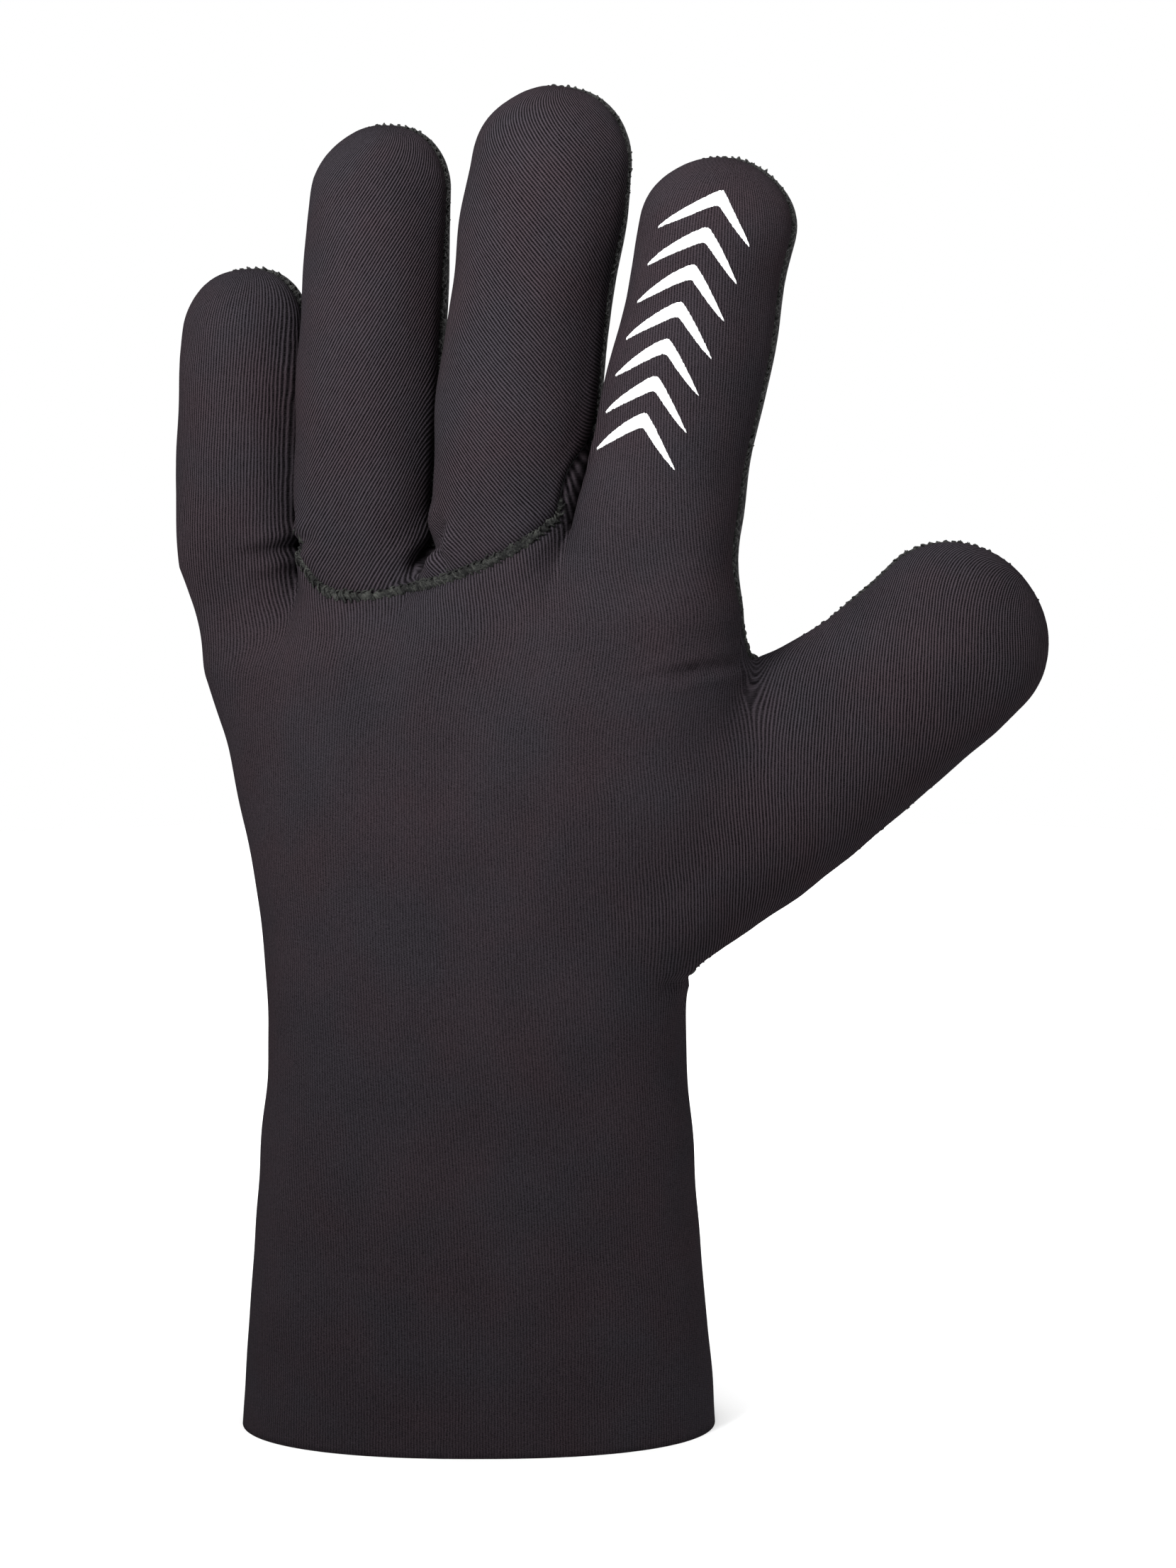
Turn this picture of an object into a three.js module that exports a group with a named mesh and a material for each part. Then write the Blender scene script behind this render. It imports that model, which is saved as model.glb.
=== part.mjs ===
// Neoprene diving glove for the left hand, filled out as when worn, standing on the rim of its long cuff.
// Millimetres. The back of the hand faces -Y, the palm +Y, the thumb points to +X and the fingers up, +Z.
//
// The skin is the zero surface of a field: one rounded tube for cuff and palm, one for each finger and one
// for the thumb, melted together. It is meshed on a grid whose lines follow the gaps between the fingers,
// split along the sewn seams into the panels the glove is cut from, and each panel then gets its wall.
// Shapes are worked out in the frame of the flat hand; the last step turns the hand a little on its cuff.
import * as THREE from "three";

// Neoprene and seams
const wall = 5;
const seamGap = 0.4;
const filmGap = 0.3;
const filmThickness = 0.4;

// Cuff and palm
const cuffLength = 92;
const palmLength = 96;
const rimWidth = 104.4;
const rimDepth = 62;
const wristWidth = 91;
const wristDepth = 56;
const palmWidth = 124.4;
const palmDepth = 48;
const palmShift = -3.5;
const palmArch = -0.1;
const knuckleRise = 0.14;
const knuckleTop = 0.01;
const knuckleDome = 17;
const handTurn = 14;

// Fingers: x and y place a root on the knuckle line, in palm widths and palm depths from its middle. long
// and wide are shares of the middle finger's length and width, root the width's share at the root, and curl
// the tip's bend towards the palm as a share of the length. lean tips a finger towards the thumb, in
// degrees, and fan carries its tail below the root towards the middle of the palm, as a share of the way down.
const fingerLength = 104.5;
const fingerWidth = 34.8;
const fingerDeep = 0.96;
const fingerRows = {
  little: { x: -0.437, y: 0.125, long: 0.617, wide: 0.793, root: 0.98, lean: -0.9, fan: 0.27, curl: 0.14 },
  ring: { x: -0.201, y: 0.042, long: 0.916, wide: 0.885, root: 0.9, lean: 0.7, fan: 0.1, curl: 0.146 },
  middle: { x: 0.05, y: -0.025, long: 1, wide: 1, root: 0.88, lean: 5.7, fan: 0, curl: 0.134 },
  index: { x: 0.311, y: -0.073, long: 0.866, wide: 0.964, root: 1.01, lean: 10.8, fan: 0, curl: 0.11 },
};

// Width and depth along a finger, as shares of its own; "at" is a share of its length above the root,
// where "root" of the list above takes the place of the width's share below rootHeight.
const fingerForm = [
  { at: -0.4, wide: 0.8, deep: 0.7 },
  { at: 0, wide: 1, deep: 0.94 },
  { at: 0.25, wide: 1, deep: 1 },
  { at: 0.55, wide: 1, deep: 1 },
  { at: 0.85, wide: 0.98, deep: 0.93 },
  { at: 1.1, wide: 0.96, deep: 0.86 },
];
const rootHeight = 0.36;
const rootCorner = 2.8;
const curlPower = 2.4;
const fingertipRound = 0.93;

// Thumb: its root in palm widths, palm depths and palm lengths from the wrist's middle
const thumbPlace = { x: 0.326, y: 0.083, z: 0.281 };
const thumbLength = 104.2;
const thumbWidth = 42;
const thumbDepth = 38;
const thumbLean = 47.1;
const thumbForward = 16;
const thumbForm = [
  { at: -0.1, wide: 0.78, deep: 0.9 },
  { at: 0.2, wide: 0.94, deep: 1.04 },
  { at: 0.5, wide: 1, deep: 1.02 },
  { at: 0.75, wide: 1, deep: 0.97 },
  { at: 1, wide: 0.97, deep: 0.9 },
];

// How softly the tubes run into each other
const fingerMelt = 11;
const thumbMeltLow = 7;
const thumbMeltHigh = 25;
const fingerTail = 0.23;

// Seams: how far the side seams lie to the front on the thumb's side of each finger, as a share of the
// half depth; where the palm panel ends above the wrist; and the arc under the two middle fingers, with
// "at" a share of the way from the little finger's gap to the index finger's, "rise" in palm lengths.
// In the webs the two fingers' panel keeps a margin from the gaps' middle, which fades out above them.
const sideSeamTurn = 0.16;
const palmSeamAboveWrist = 9;
const webMargin = 2.5;
const webFade = 12;
const knuckleArc = [
  { at: 0, rise: 0.036 },
  { at: 0.06, rise: -0.01 },
  { at: 0.14, rise: -0.038 },
  { at: 0.25, rise: -0.046 },
  { at: 0.45, rise: -0.027 },
  { at: 0.65, rise: 0.008 },
  { at: 0.85, rise: 0.062 },
  { at: 0.95, rise: 0.104 },
  { at: 1, rise: 0.135 },
];

// Chevrons of printed film on the index finger
// (the first one's bend as a share of the finger's length; the others follow at the pitch and drift aside)
const chevronCount = 7;
const chevronTop = 0.927;
const chevronSide = 1.5;
const chevronPitch = 8;
const chevronDrift = 0.95;
const chevronLeft = 12.6;
const chevronRight = 9;
const chevronDrop = 10.6;
const chevronWeight = 3.2;
const chevronSteps = 5;

// Mesh: cells across each finger's lane and to its right, and cell sizes in depth and height
const laneCells = [7, 6, 6, 6];
const thumbLaneCells = 10;
const depthCell = 6.4;
const cuffCell = 14;
const handCell = 9.4;
const fingerCell = 7.2;
const snapShare = 0.3;
const innerEvening = 0.6;

const degrees = Math.PI / 180;
const wristZ = cuffLength;
const knuckleZ = cuffLength + palmLength;

const fingers = Object.values(fingerRows).map((row) => ({
  ...row,
  x: row.x * palmWidth,
  y: row.y * palmDepth,
  length: row.long * fingerLength,
  width: row.wide * fingerWidth,
  depth: fingerDeep * row.wide * fingerWidth,
  curl: row.curl * row.long * fingerLength,
}));
const thumbRoot = {
  x: thumbPlace.x * palmWidth,
  y: thumbPlace.y * palmDepth,
  z: wristZ + thumbPlace.z * palmLength,
};

// Cuff and palm by height: centre, half width and half depth
const flare = (rimWidth - wristWidth) / 2;
const handForm = [
  { at: -20, x: 0, wide: wristWidth / 2 + 1.2 * flare, deep: rimDepth / 2 },
  { at: 0, x: 0, wide: rimWidth / 2, deep: rimDepth / 2 },
  { at: 0.45 * wristZ, x: 0, wide: wristWidth / 2 + 0.55 * flare, deep: 0.53 * wristDepth },
  { at: 0.72 * wristZ, x: 0, wide: wristWidth / 2 + 0.2 * flare, deep: 0.51 * wristDepth },
  { at: wristZ, x: 0, wide: wristWidth / 2, deep: wristDepth / 2 },
  { at: wristZ + 0.29 * palmLength, x: 0.5 * palmShift, wide: 0.383 * palmWidth, deep: 0.53 * palmDepth },
  { at: wristZ + 0.55 * palmLength, x: 0.55 * palmShift, wide: 0.43 * palmWidth, deep: 0.5 * palmDepth },
  { at: wristZ + 0.68 * palmLength, x: 0.62 * palmShift, wide: 0.456 * palmWidth, deep: 0.47 * palmDepth },
  { at: wristZ + 0.82 * palmLength, x: 0.65 * palmShift, wide: 0.48 * palmWidth, deep: 0.42 * palmDepth },
  { at: knuckleZ, x: 0.6 * palmShift, wide: 0.484 * palmWidth, deep: 0.36 * palmDepth },
  { at: knuckleZ + 30, x: 0.6 * palmShift, wide: 0.484 * palmWidth, deep: 0.34 * palmDepth },
];
const handCorner = 2.3;

// A column of a table read between its rows, on a smooth curve through them.
function read(rows, key, at) {
  const last = rows.length - 1;
  if (at <= rows[0].at) return rows[0][key];
  if (at >= rows[last].at) return rows[last][key];
  let i = 0;
  while (at > rows[i + 1].at) i += 1;
  const slope = (j) => {
    const a = rows[Math.max(0, j - 1)];
    const b = rows[Math.min(last, j + 1)];
    return (b[key] - a[key]) / (b.at - a.at);
  };
  const span = rows[i + 1].at - rows[i].at;
  const t = (at - rows[i].at) / span;
  const h = t * t * (3 - 2 * t);
  const start = t * (1 - t) * (1 - t) * span * slope(i);
  const end = t * t * (t - 1) * span * slope(i + 1);
  return rows[i][key] * (1 - h) + rows[i + 1][key] * h + start + end;
}

function ease(t) {
  const c = Math.min(1, Math.max(0, t));
  return c * c * (3 - 2 * c);
}

// Distance to a rounded tube: a across and b deep from its axis, over past the start of its round end.
function tubeDistance(a, b, over, wide, deep, round, corner) {
  const u = Math.abs(a) / wide;
  const v = Math.abs(b) / deep;
  const ring = Math.max(1e-6, (u ** corner + v ** corner) ** (1 / corner));
  const cap = Math.max(0, over) / round;
  const size = Math.max(1e-6, Math.hypot(ring, cap));
  const slopeA = ((u / ring) ** (corner - 1) / wide) * (ring / size);
  const slopeB = ((v / ring) ** (corner - 1) / deep) * (ring / size);
  return (size - 1) / Math.max(1e-6, Math.hypot(slopeA, slopeB, cap / size / round));
}

// A point in a finger's own frame: along from its root, across towards the thumb, deep towards the palm.
function inFinger(f, [x, y, z]) {
  const sin = Math.sin(f.lean * degrees);
  const cos = Math.cos(f.lean * degrees);
  const along = (x - f.x) * sin + (z - knuckleZ) * cos;
  const bend = f.curl * Math.max(0, along / f.length) ** curlPower;
  const across = (x - f.x) * cos - (z - knuckleZ) * sin + f.fan * Math.min(0, along);
  return { along, across, deep: y - f.y - bend };
}

function fingerSize(f, along) {
  const at = along / f.length;
  const root = f.root + (1 - f.root) * ease(at / rootHeight);
  return {
    wide: (f.width / 2) * root * read(fingerForm, "wide", at),
    deep: (f.depth / 2) * read(fingerForm, "deep", at),
    corner: rootCorner + (2 - rootCorner) * ease(at / rootHeight),
  };
}

function fingerDistance(f, p) {
  const own = inFinger(f, p);
  const round = (f.width / 2) * fingertipRound;
  const size = fingerSize(f, own.along);
  const over = Math.max(own.along - (f.length - round), -own.along - fingerTail * palmLength);
  return tubeDistance(own.across, own.deep, over, size.wide, size.deep, round, size.corner);
}

const thumbAlong = [
  Math.sin(thumbLean * degrees) * Math.cos(thumbForward * degrees),
  Math.sin(thumbForward * degrees),
  Math.cos(thumbLean * degrees) * Math.cos(thumbForward * degrees),
];
const thumbAcross = [Math.cos(thumbLean * degrees), 0, -Math.sin(thumbLean * degrees)];
const thumbDeep = [
  thumbAlong[1] * thumbAcross[2] - thumbAlong[2] * thumbAcross[1],
  thumbAlong[2] * thumbAcross[0] - thumbAlong[0] * thumbAcross[2],
  thumbAlong[0] * thumbAcross[1] - thumbAlong[1] * thumbAcross[0],
];
const dot = (a, b) => a[0] * b[0] + a[1] * b[1] + a[2] * b[2];

function inThumb([x, y, z]) {
  const d = [x - thumbRoot.x, y - thumbRoot.y, z - thumbRoot.z];
  return { along: dot(d, thumbAlong), across: dot(d, thumbAcross), deep: dot(d, thumbDeep) };
}

function thumbSize(along) {
  const at = along / thumbLength;
  return {
    wide: (thumbWidth / 2) * read(thumbForm, "wide", at),
    deep: (thumbDepth / 2) * read(thumbForm, "deep", at),
  };
}

function thumbDistance(p) {
  const own = inThumb(p);
  const round = thumbWidth / 2.1;
  const size = thumbSize(own.along);
  const over = Math.max(own.along - (thumbLength - round), -own.along);
  return tubeDistance(own.across, own.deep, over, size.wide, size.deep, round, 2);
}

function handSize(z) {
  return {
    x: read(handForm, "x", z),
    wide: read(handForm, "wide", z),
    deep: read(handForm, "deep", z),
    arch: palmArch * ease((z - wristZ) / palmLength),
  };
}

function handDistance([x, y, z]) {
  const size = handSize(z);
  const over = z - (knuckleZ + knuckleTop * palmLength + knuckleRise * x - knuckleDome);
  const arched = y - size.arch * x;
  return tubeDistance(x - size.x, arched, over, size.wide, size.deep, knuckleDome, handCorner);
}

// Two distances melted together over a length.
function melt(a, b, over) {
  const h = Math.max(0, over - Math.abs(a - b)) / over;
  return Math.min(a, b) - (h * h * over) / 4;
}

function skin(p) {
  const rise = ease((p[2] - thumbRoot.z) / (0.6 * thumbWidth));
  const thumbMelt = thumbMeltLow + (thumbMeltHigh - thumbMeltLow) * rise;
  const hand = melt(handDistance(p), thumbDistance(p), thumbMelt);
  return Math.min(...fingers.map((f) => melt(hand, fingerDistance(f, p), fingerMelt)));
}

function gradient(field, [x, y, z]) {
  const e = 0.2;
  return [
    (field([x + e, y, z]) - field([x - e, y, z])) / (2 * e),
    (field([x, y + e, z]) - field([x, y - e, z])) / (2 * e),
    (field([x, y, z + e]) - field([x, y, z - e])) / (2 * e),
  ];
}

// Moves a point down the field's slope onto the skin.
function ontoSkin(p, steps = 4, reach = 2.5) {
  let q = p;
  for (let i = 0; i < steps; i += 1) {
    const g = gradient(skin, q);
    const slope = Math.max(0.2, dot(g, g));
    const move = Math.max(-reach, Math.min(reach, skin(q) / slope));
    q = q.map((c, n) => c - move * g[n]);
  }
  return q;
}

function outward(p) {
  return new THREE.Vector3(...gradient(skin, p)).normalize();
}

// The outward direction at each corner of a mesh: its faces' by area, then evened out with the neighbours'.
function cornerNormals(mesh, rounds) {
  let normals = mesh.corners.map(() => new THREE.Vector3());
  const near = mesh.corners.map(() => new Set());
  mesh.faces.forEach((f) => {
    const [a, b, c] = f.map((corner) => new THREE.Vector3(...mesh.corners[corner]));
    const area = b.sub(a).cross(c.sub(a));
    f.forEach((corner, n) => {
      normals[corner].add(area);
      near[corner].add(f[(n + 1) % 3]).add(f[(n + 2) % 3]);
    });
  });
  for (let round = 0; round <= rounds; round += 1) {
    const unit = normals.map((n) => n.clone().normalize());
    normals = unit.map((n, i) => {
      const sum = n.clone();
      if (round < rounds) near[i].forEach((other) => sum.addScaledVector(unit[other], 1 / near[i].size));
      return sum.normalize();
    });
  }
  return normals;
}

// The middle of the gap between one finger and the next, at a height.
function gapX(i, z) {
  const high = Math.max(z, knuckleZ - 8);
  const side = (f, sign) => {
    const up = Math.min(high, knuckleZ + 0.9 * f.length) - knuckleZ;
    const axis = f.x + up * Math.tan(f.lean * degrees);
    return axis + (sign * fingerSize(f, up).wide) / Math.cos(f.lean * degrees);
  };
  return (side(fingers[i], 1) + side(fingers[i + 1], -1)) / 2;
}

// How far the grid reaches: past the little finger, the thumb's tip, the back of the hand and the palm
const reach = 2 * depthCell;
const thumbEnd = (angle) => thumbLength * Math.sin(angle * degrees);
const deepest = Math.max(rimDepth, wristDepth, palmDepth, fingerWidth + 2 * Math.abs(fingers[3].y));
const gridLeft = Math.min(-rimWidth / 2, fingers[0].x - fingers[0].width / 2) - reach;
const gridRight = thumbRoot.x + thumbEnd(thumbLean) + reach;
const gridFront = -deepest / 2 - reach;
const gridBack = thumbRoot.y + thumbEnd(thumbForward) + thumbDepth / 2 + reach;

// Grid lines across the hand at a height: the lanes of the fingers, then the thumb's side.
function gridLines(z) {
  const index = fingers[3];
  const up = Math.min(Math.max(z, knuckleZ - 8), knuckleZ + index.length) - knuckleZ;
  const indexSide = index.x + up * Math.tan(index.lean * degrees) + index.width / 2 + 4;
  const bounds = [gridLeft, gapX(0, z), gapX(1, z), gapX(2, z), indexSide, gridRight];
  const cells = [...laneCells, thumbLaneCells];
  const lines = [gridLeft];
  cells.forEach((count, lane) => {
    for (let i = 1; i <= count; i += 1) {
      lines.push(bounds[lane] + ((bounds[lane + 1] - bounds[lane]) * i) / count);
    }
  });
  return lines;
}

// A closed mesh of the skin: one corner in each grid cell that the skin passes through, and one face
// across each grid edge that it crosses.
function meshSkin() {
  const heights = [-2.5 * fingerCell, -1.5 * fingerCell, -0.5 * fingerCell];
  for (let z = 0.5 * fingerCell; z < knuckleZ + fingers[2].length + 2 * fingerCell; ) {
    heights.push(z);
    z += z < 0.85 * wristZ ? cuffCell : z < knuckleZ - handCell ? handCell : fingerCell;
  }
  const depths = [];
  for (let y = gridFront; y < gridBack; y += depthCell) depths.push(y);
  const lines = heights.map(gridLines);
  const [nx, ny, nz] = [lines[0].length, depths.length, heights.length];
  const spot = (i, j, k) => [lines[k][i], depths[j], heights[k]];
  const id = (i, j, k) => (k * ny + j) * nx + i;
  const value = new Float64Array(nx * ny * nz);
  for (let k = 0; k < nz; k += 1)
    for (let j = 0; j < ny; j += 1)
      for (let i = 0; i < nx; i += 1) value[id(i, j, k)] = skin(spot(i, j, k));

  const corners = [];
  const cornerOf = new Map();
  const cube = [0, 1, 2, 3, 4, 5, 6, 7].map((n) => [n & 1, (n >> 1) & 1, (n >> 2) & 1]);
  for (let k = 0; k < nz - 1; k += 1)
    for (let j = 0; j < ny - 1; j += 1)
      for (let i = 0; i < nx - 1; i += 1) {
        const sum = [0, 0, 0];
        let crossings = 0;
        for (const a of cube)
          for (const b of cube) {
            const steps = b[0] - a[0] + b[1] - a[1] + b[2] - a[2];
            const apart = Math.abs(b[0] - a[0]) + Math.abs(b[1] - a[1]) + Math.abs(b[2] - a[2]);
            if (steps !== 1 || apart !== 1) continue;
            const va = value[id(i + a[0], j + a[1], k + a[2])];
            const vb = value[id(i + b[0], j + b[1], k + b[2])];
            if (va < 0 === vb < 0) continue;
            const t = va / (va - vb);
            const pa = spot(i + a[0], j + a[1], k + a[2]);
            const pb = spot(i + b[0], j + b[1], k + b[2]);
            for (let c = 0; c < 3; c += 1) sum[c] += pa[c] + t * (pb[c] - pa[c]);
            crossings += 1;
          }
        if (!crossings) continue;
        cornerOf.set(id(i, j, k), corners.length);
        corners.push(sum.map((c) => c / crossings));
      }

  const faces = [];
  const addFace = (cells, turned) => {
    const quad = cells.map((c) => cornerOf.get(c));
    if (quad.some((q) => q === undefined)) return;
    if (turned) quad.reverse();
    const [a, b, c, d] = quad;
    const apart = (m, n) => Math.hypot(...corners[m].map((v, i) => v - corners[n][i]));
    if (apart(a, c) <= apart(b, d)) faces.push([a, b, c], [a, c, d]);
    else faces.push([a, b, d], [b, c, d]);
  };
  for (let k = 1; k < nz - 1; k += 1)
    for (let j = 1; j < ny - 1; j += 1)
      for (let i = 1; i < nx - 1; i += 1) {
        const here = value[id(i, j, k)] < 0;
        if (here !== value[id(i + 1, j, k)] < 0)
          addFace([id(i, j - 1, k - 1), id(i, j, k - 1), id(i, j, k), id(i, j - 1, k)], !here);
        if (here !== value[id(i, j + 1, k)] < 0)
          addFace([id(i - 1, j, k - 1), id(i - 1, j, k), id(i, j, k), id(i, j, k - 1)], !here);
        if (here !== value[id(i, j, k + 1)] < 0)
          addFace([id(i - 1, j - 1, k), id(i, j - 1, k), id(i, j, k), id(i - 1, j, k)], !here);
      }
  return { corners, faces };
}

// Evens out the faces: each corner moves towards its neighbours' middle, then back onto the skin.
function settle(mesh, rounds) {
  const near = mesh.corners.map(() => new Set());
  mesh.faces.forEach(([a, b, c]) => {
    near[a].add(b).add(c);
    near[b].add(a).add(c);
    near[c].add(a).add(b);
  });
  mesh.corners = mesh.corners.map((p) => ontoSkin(p, 5));
  for (let round = 0; round < rounds; round += 1) {
    mesh.corners = mesh.corners.map((p, i) => {
      const middle = [0, 0, 0];
      near[i].forEach((n) => mesh.corners[n].forEach((c, axis) => (middle[axis] += c / near[i].size)));
      return ontoSkin(p.map((c, axis) => 0.5 * (c + middle[axis])), 2);
    });
  }
}

// Cuts the chosen faces where a line field changes sign and labels the two sides. Corners near the line
// are moved onto it first, so that no thin faces are left; corners already on a line stay.
function splitFaces(mesh, field, chosen, labelAbove, labelBelow) {
  const value = mesh.corners.map((p) => field(p));
  const moved = new Set();
  const picked = mesh.faces.map((_, i) => chosen(mesh.labels[i]));
  const edges = [];
  mesh.faces.forEach((f, i) => {
    if (picked[i]) [0, 1, 2].forEach((n) => edges.push([f[n], f[(n + 1) % 3]]));
  });
  for (const [a, b] of edges) {
    for (const [m, n] of [[a, b], [b, a]]) {
      if (moved.has(m) || mesh.pinned.has(m) || value[m] < 0 === value[n] < 0) continue;
      const t = value[m] / (value[m] - value[n]);
      if (t > snapShare) continue;
      mesh.corners[m] = mesh.corners[m].map((c, i) => c + t * (mesh.corners[n][i] - c));
      value[m] = 0;
      moved.add(m);
    }
  }
  const cuts = new Map();
  const cut = (a, b) => {
    const key = a < b ? `${a}/${b}` : `${b}/${a}`;
    if (!cuts.has(key)) {
      const t = value[a] / (value[a] - value[b]);
      cuts.set(key, mesh.corners.length);
      mesh.corners.push(mesh.corners[a].map((c, i) => c + t * (mesh.corners[b][i] - c)));
      value.push(0);
    }
    return cuts.get(key);
  };
  const faces = [];
  const labels = [];
  const keep = (f, above) => {
    faces.push(f);
    labels.push(above ? labelAbove : labelBelow);
  };
  mesh.faces.forEach((f, i) => {
    if (!picked[i]) {
      faces.push(f);
      labels.push(mesh.labels[i]);
      return;
    }
    const side = f.map((c) => Math.sign(value[c]));
    if (Math.min(...side) >= 0 || Math.max(...side) <= 0) {
      const total = side[0] + side[1] + side[2];
      const middle = [0, 1, 2].map((axis) => f.reduce((s, c) => s + mesh.corners[c][axis] / 3, 0));
      keep(f, total ? total > 0 : field(middle) > 0);
      return;
    }
    const zero = side.indexOf(0);
    if (zero >= 0) {
      const [a, b, c] = [f[zero], f[(zero + 1) % 3], f[(zero + 2) % 3]];
      const m = cut(b, c);
      keep([a, b, m], value[b] > 0);
      keep([a, m, c], value[c] > 0);
      return;
    }
    const lone = [0, 1, 2].find((n) => side[n] !== side[(n + 1) % 3] && side[n] !== side[(n + 2) % 3]);
    const [a, b, c] = [f[lone], f[(lone + 1) % 3], f[(lone + 2) % 3]];
    const [m, n] = [cut(a, b), cut(a, c)];
    keep([a, m, n], value[a] > 0);
    keep([m, b, c], value[a] < 0);
    keep([m, c, n], value[a] < 0);
  });
  value.forEach((v, i) => {
    if (v === 0) mesh.pinned.add(i);
  });
  mesh.faces = faces;
  mesh.labels = labels;
}

// Smooths a seam: each of its corners moves towards its two neighbours along the seam, then back onto the
// skin. Corners where seams meet, and those on the rim, stay.
function smoothSeams(mesh, rounds) {
  const kinds = new Map();
  mesh.faces.forEach((f, i) => {
    [0, 1, 2].forEach((n) => {
      const [a, b] = [f[n], f[(n + 1) % 3]];
      const key = a < b ? `${a}/${b}` : `${b}/${a}`;
      if (!kinds.has(key)) kinds.set(key, []);
      kinds.get(key).push(mesh.labels[i]);
    });
  });
  const along = new Map();
  kinds.forEach((labels, key) => {
    if (labels.length !== 2 || labels[0] === labels[1]) return;
    const [a, b] = key.split("/").map(Number);
    along.set(a, [...(along.get(a) || []), b]);
    along.set(b, [...(along.get(b) || []), a]);
  });
  for (let round = 0; round < rounds; round += 1) {
    const next = new Map();
    along.forEach((ends, c) => {
      if (ends.length !== 2 || mesh.corners[c][2] === 0) return;
      const [a, b] = ends.map((n) => mesh.corners[n]);
      next.set(c, ontoSkin(mesh.corners[c].map((v, i) => 0.5 * v + 0.25 * (a[i] + b[i])), 2));
    });
    next.forEach((p, c) => (mesh.corners[c] = p));
  }
}

// Seam fields, in millimetres. Above zero is the palm side of the side seams.
function palmSide(p) {
  const shares = [];
  fingers.forEach((f) => {
    const own = inFinger(f, p);
    const size = fingerSize(f, own.along);
    shares.push([fingerDistance(f, p), own.deep + (sideSeamTurn * size.deep * own.across) / size.wide]);
  });
  const thumb = inThumb(p);
  const half = thumbSize(thumb.along);
  shares.push([thumbDistance(p), thumb.deep - (sideSeamTurn * half.deep * thumb.across) / half.wide]);
  const hand = handSize(p[2]);
  const slope = (sideSeamTurn * hand.deep) / hand.wide - hand.arch;
  shares.push([handDistance(p), p[1] + slope * (p[0] - hand.x)]);
  const nearest = Math.min(...shares.map(([distance]) => distance));
  const weights = shares.map(([distance]) => Math.exp((nearest - distance) / 4));
  const total = weights.reduce((s, w) => s + w, 0);
  return shares.reduce((s, [, side], i) => s + (side * weights[i]) / total, 0);
}

function palmPanelField(p) {
  return Math.min(palmSide(p), p[2] - (wristZ + palmSeamAboveWrist));
}

function middlePanelField(p) {
  const left = gapX(0, p[2]) + webMargin * (1 - ease((p[2] - knuckleZ - 6) / webFade));
  const right = gapX(2, p[2]) - webMargin * (1 - ease((p[2] - knuckleZ - 20) / webFade));
  const across = (p[0] - left) / (right - left);
  const above = p[2] - (knuckleZ + palmLength * read(knuckleArc, "rise", across));
  return Math.min(above, 3 * (p[0] - left), 3 * (right - p[0]));
}

// Turns the hand on its cuff: none at the rim, the full turn at the knuckles.
function turned([x, y, z]) {
  const angle = -handTurn * degrees * ease((z - 0.2 * wristZ) / (0.85 * knuckleZ - 0.2 * wristZ));
  return [x * Math.cos(angle) - y * Math.sin(angle), x * Math.sin(angle) + y * Math.cos(angle), z];
}

function geometryOf(points, triangles) {
  const geometry = new THREE.BufferGeometry();
  geometry.setAttribute("position", new THREE.Float32BufferAttribute(points.flatMap(turned), 3));
  geometry.setIndex(triangles.flat());
  return geometry;
}

// The skin's inner face: every corner one wall further in, evened out a little so that it doesn't fold.
function innerCorners(mesh, normals) {
  const moved = mesh.corners.map((p, i) => {
    const n = normals[i].clone();
    if (p[2] === 0) n.setZ(0).normalize();
    return new THREE.Vector3(...p).addScaledVector(n, -wall);
  });
  const near = mesh.corners.map(() => new Set());
  mesh.faces.forEach((f) => f.forEach((c, n) => near[c].add(f[(n + 1) % 3]).add(f[(n + 2) % 3])));
  return moved.map((p, i) => {
    if (mesh.corners[i][2] <= 0) return p;
    const middle = new THREE.Vector3();
    near[i].forEach((other) => middle.addScaledVector(moved[other], 1 / near[i].size));
    return p.clone().lerp(middle, innerEvening);
  });
}

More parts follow.
